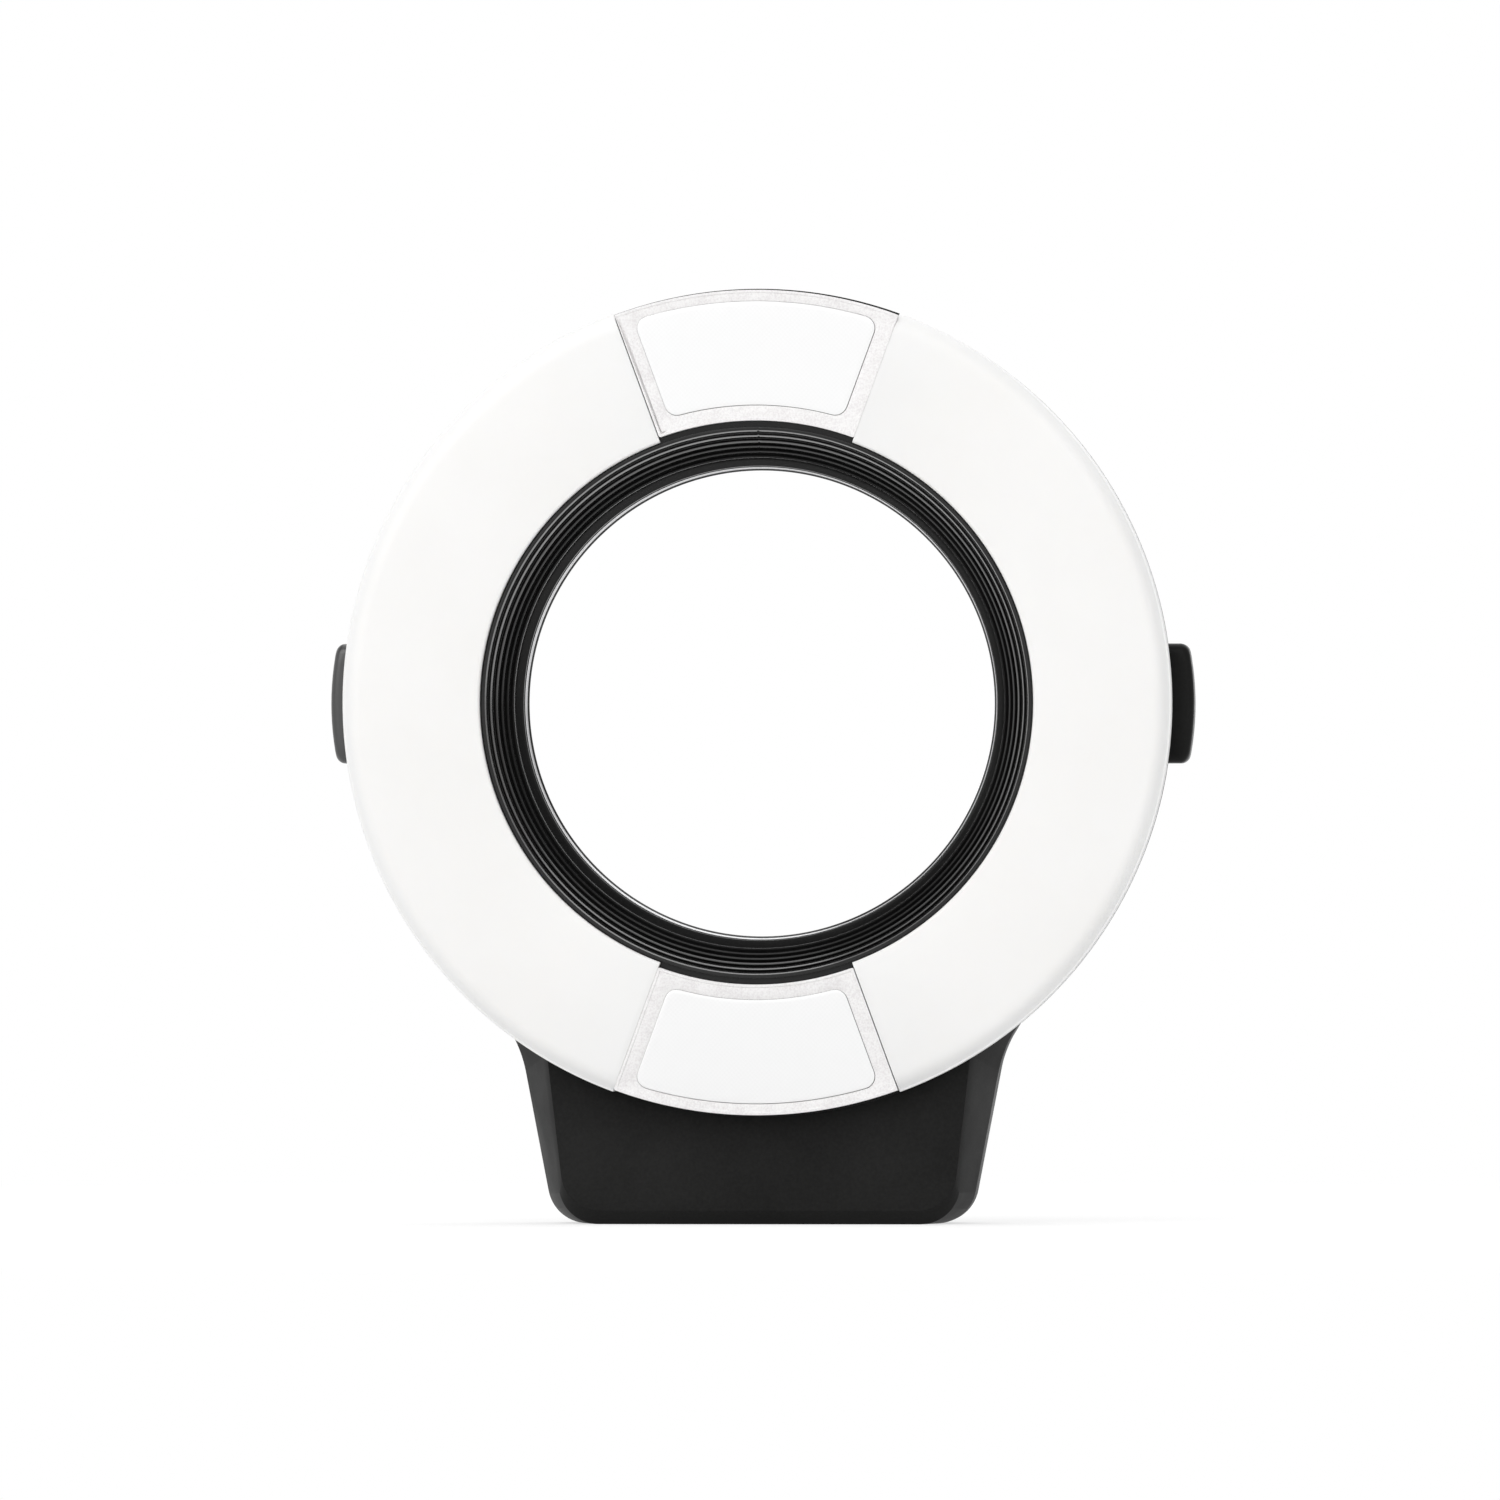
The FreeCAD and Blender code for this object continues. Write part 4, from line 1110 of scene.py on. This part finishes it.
def build_buttons():
    half_depth = (BUTTON_FRONT - BUTTON_REAR) / 2
    edge, corner, crown = 1.15, 1.5, 0.95
    neck, neck_crown = 1.0, 0.7
    edge_steps, face_steps = 8, 8
    face_corner, face_share = 0.9, 0.992
    bm = bmesh.new()
    loops = [button_loop(half_depth, BUTTON_HALF, corner, BUTTON_INNER, 0.0),
             button_loop(half_depth, BUTTON_HALF, corner, BUTTON_REACH - edge - neck, neck_crown)]
    for step in range(edge_steps + 1):
        angle = math.pi / 2 * step / edge_steps
        inward = edge * (1 - math.cos(angle))
        x = BUTTON_REACH - edge + edge * math.sin(angle)
        loops.append(button_loop(half_depth - inward, BUTTON_HALF - inward, corner - inward * 0.5, x, crown))
    for step in range(1, face_steps + 1):
        share = face_share * step / face_steps
        inward = edge + (half_depth - edge) * share
        loops.append(button_loop(half_depth - inward, BUTTON_HALF - inward, face_corner * (1 - share),
                                 BUTTON_REACH, crown))
    add_loops(bm, loops, cap_first=True, cap_last=True)
    stop_inner, stop_outer, stop_start, stop_end = 56.1, 57.7, 8.6, 10.4
    stop_rear = COVER_THICKNESS + BUTTON_CLEARANCE
    for side in (-1, 1):
        low, high = sorted((side * stop_start, side * stop_end))
        add_block(bm, (stop_inner, -BUTTON_FRONT, low), (stop_outer, -stop_rear, high))
    right = finished("right_release_button", bm, BUTTON, sharp=40)
    stands_for(right, "release_right", "release_button_right")
    left = mirrored(right, "left_release_button", "release_left", "release_button_left")


# Springs behind the buttons

def build_springs():
    wire, radius, turns, length, end = 0.2, 1.25, 3, 7.0, 0.25
    steps, sides = 40 * turns, 12
    for side, name, node, body in (
            (1, "right_spring_coil", "release_spring_right", "release_right"),
            (-1, "left_spring_coil", "release_spring_left", "release_left")):
        bm = bmesh.new()
        loops = []
        for step in range(steps + 1):
            share = step / steps
            angle = TURN * turns * share
            x = end + (length - 2 * end) * share
            out = Vector((0, math.cos(angle), math.sin(angle)))
            centre = Vector((POST_X + x, -SPRING_DEPTH, 0)) + out * radius
            loops.append([tuple(centre + out * (wire * math.cos(TURN * k / sides))
                                + Vector((wire * math.sin(TURN * k / sides), 0, 0))) for k in range(sides)])
        if side < 0:
            loops = [[(-x, y, z) for x, y, z in loop] for loop in loops]
        add_loops(bm, loops, cap_first=True, cap_last=True)
        coil = finished(name, bm, SPRING, sharp=60)
        stands_for(coil, "housing", node)
        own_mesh(coil)


# Screws of the back and the inlet for the lead

def cross_outline(half_length, half_width):
    a, b = half_length, half_width
    return [(a, -b), (a, b), (b, b), (b, a), (-b, a), (-b, b),
            (-a, b), (-a, -b), (-b, -b), (-b, -a), (b, -a), (b, -b)]


def build_screws():
    """One screw at each hole: shank, head and a cross recess turned as chance has it."""
    sections = ((0.85, 4.9), (0.85, 1.2), (1.6, 1.2), (1.6, 0.45), (1.52, 0.28), (1.35, 0.2))
    steps = 40
    head_rear, recess_floor = 0.2, 0.8
    bm = bmesh.new()
    random.seed(7)
    for x, z in COVER_SCREWS:
        rings = [in_space(circle(radius, x, z, steps), depth) for radius, depth in sections]
        rows = add_loops(bm, rings, cap_first=True)
        turn = random.uniform(0, math.pi / 2)

        def cross(half_length, half_width):
            return [(x + u * math.cos(turn) - v * math.sin(turn), z + u * math.sin(turn) + v * math.cos(turn))
                    for u, v in cross_outline(half_length, half_width)]

        recess = [in_space(cross(0.95, 0.2), head_rear), in_space(cross(0.6, 0.17), recess_floor)]
        mouth, floor = add_loops(bm, recess)
        bm.faces.new(floor)
        add_filled(bm, rows[-1], [mouth])
    screws = finished("back_screws", bm, SCREW, sharp=35)
    stands_for(screws, "housing", "cover_screws")


def build_gland():
    """Rubber inlet with one ring groove in its rear face and a collar inside the cover."""
    bm = bmesh.new()
    profile = rounded([
        (2.4, 0.0, 0.35),
        (3.0, 0.0, 0),
        (3.05, 0.35, 0.08),
        (3.35, 0.35, 0.08),
        (3.4, 0.0, 0),
        (4.2, 0.0, 0.2),
        (4.2, COVER_THICKNESS, 0),
        (5.3, COVER_THICKNESS, 0.1),
        (5.3, 5.0, 0.3),
        (2.4, 5.0, 0.3),
    ], 4)
    add_lathe(bm, profile, 72, centre=(0.0, GLAND_Z))
    gland = finished("lead_gland", bm, RUBBER, sharp=50)
    stands_for(gland, "housing", "cable_gland")


build_diffusers()
build_focus_lights()
build_throat()
build_shell()
build_rear_cover()
build_buttons()
build_springs()
build_screws()
build_gland()

kept = {
    "latch_plate_right": STEEL, "latch_plate_left": STEEL, "latch_retainer": STEEL,
    "retainer_screws": SCREW, "reflector_a": REFLECTOR, "reflector_b": REFLECTOR,
    "flash_tube_a": GLASS, "flash_tube_b": GLASS,
    "tube_electrodes_a": ELECTRODE, "tube_electrodes_b": ELECTRODE,
    "tube_boots_a": BOOT, "tube_boots_b": BOOT,
    "led_board_top": BOARD, "led_board_bottom": BOARD,
    "focus_leds_top": LED, "focus_leds_bottom": LED,
    "trigger_board": BOARD, "trigger_coils": COPPER, "trigger_capacitors": CAN,
    "board_connector": SOCKET, "board_screws": SCREW,
}
for name, material in kept.items():
    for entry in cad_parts[name].material_slots:
        entry.material = material


# Studio

def build_floor():
    mesh = bpy.data.meshes.new("studio_floor")
    half = 6.0
    low = BOX_BOTTOM * MM
    corners = [(-half, -half, low), (half, -half, low), (half, half, low), (-half, half, low)]
    mesh.from_pydata(corners, [], [(0, 1, 2, 3)])
    mesh.materials.append(floor_paper())
    floor = new_object("studio_floor", mesh)


def build_world():
    """White surroundings, of which gloss shows less to the right and overhead."""
    world = bpy.data.worlds.new("studio_world")
    bpy.context.scene.world = world
    world.use_nodes = True
    graph = Graph(world.node_tree)
    back = graph.tree.nodes["Background"]
    back.inputs["Color"].default_value = (1, 1, 1, 1)
    level = graph.spread(shown_rays(graph), 0.5, 1.0, 0.0, 1.0)
    direction = graph.add("ShaderNodeSeparateXYZ")
    graph.join(graph.add("ShaderNodeTexCoord").outputs["Generated"], direction.inputs["Vector"])
    largest_drop = 0.5
    rightward = graph.spread(direction.outputs["X"], 0.0, largest_drop, 0.3, 0.75)
    overhead = graph.spread(direction.outputs["Z"], 0.0, largest_drop, 0.2, 0.75)
    glossy = graph.add("ShaderNodeLightPath").outputs["Is Glossy Ray"]
    drop = graph.math("MULTIPLY", graph.math("MAXIMUM", rightward, overhead), glossy)
    graph.join(graph.math("SUBTRACT", level, drop), back.inputs["Strength"])


def aim_at(holder, target):
    """Turns a lamp or camera to look at a point."""
    holder.rotation_euler = (target - holder.location).to_track_quat("-Z", "Y").to_euler()


def build_lamps():
    """Square lamps by name, place and size in metres, and power in watts."""
    target = Vector((0, -0.014, -0.01))
    for name, spot, size, power in (
            ("key", (-0.9, -1.3, 0.9), 1.6, 11.5),
            ("fill", (1.1, -1.3, 0.3), 1.6, 1.8),
            ("front", (0.0, -1.6, 1.0), 1.6, 7.0),
            ("top", (0.0, 0.1, 1.2), 1.2, 3.5),
            ("rear", (0.25, 1.05, 1.2), 1.4, 6.0)):
        lamp = bpy.data.lights.new(name, "AREA")
        lamp.shape = "SQUARE"
        lamp.size = size
        lamp.energy = power
        holder = new_object(name, lamp)
        holder.location = spot
        aim_at(holder, target)


def build_camera():
    camera = bpy.data.cameras.new("photo_camera")
    camera.sensor_width = 36.0
    camera.lens = 482.0
    camera.clip_end = 50.0
    holder = new_object("photo_camera", camera)
    azimuth, elevation, distance = math.radians(3.0), math.radians(-0.35), 3.0
    target = Vector((-0.0009, -0.028, -0.0071))
    level = math.cos(elevation)
    direction = Vector((math.sin(azimuth) * level, -math.cos(azimuth) * level, math.sin(elevation)))
    holder.location = target + direction * distance
    aim_at(holder, target)
    bpy.context.scene.camera = holder


build_floor()
build_world()
build_lamps()
build_camera()
bpy.context.scene.view_settings.view_transform = "Standard"
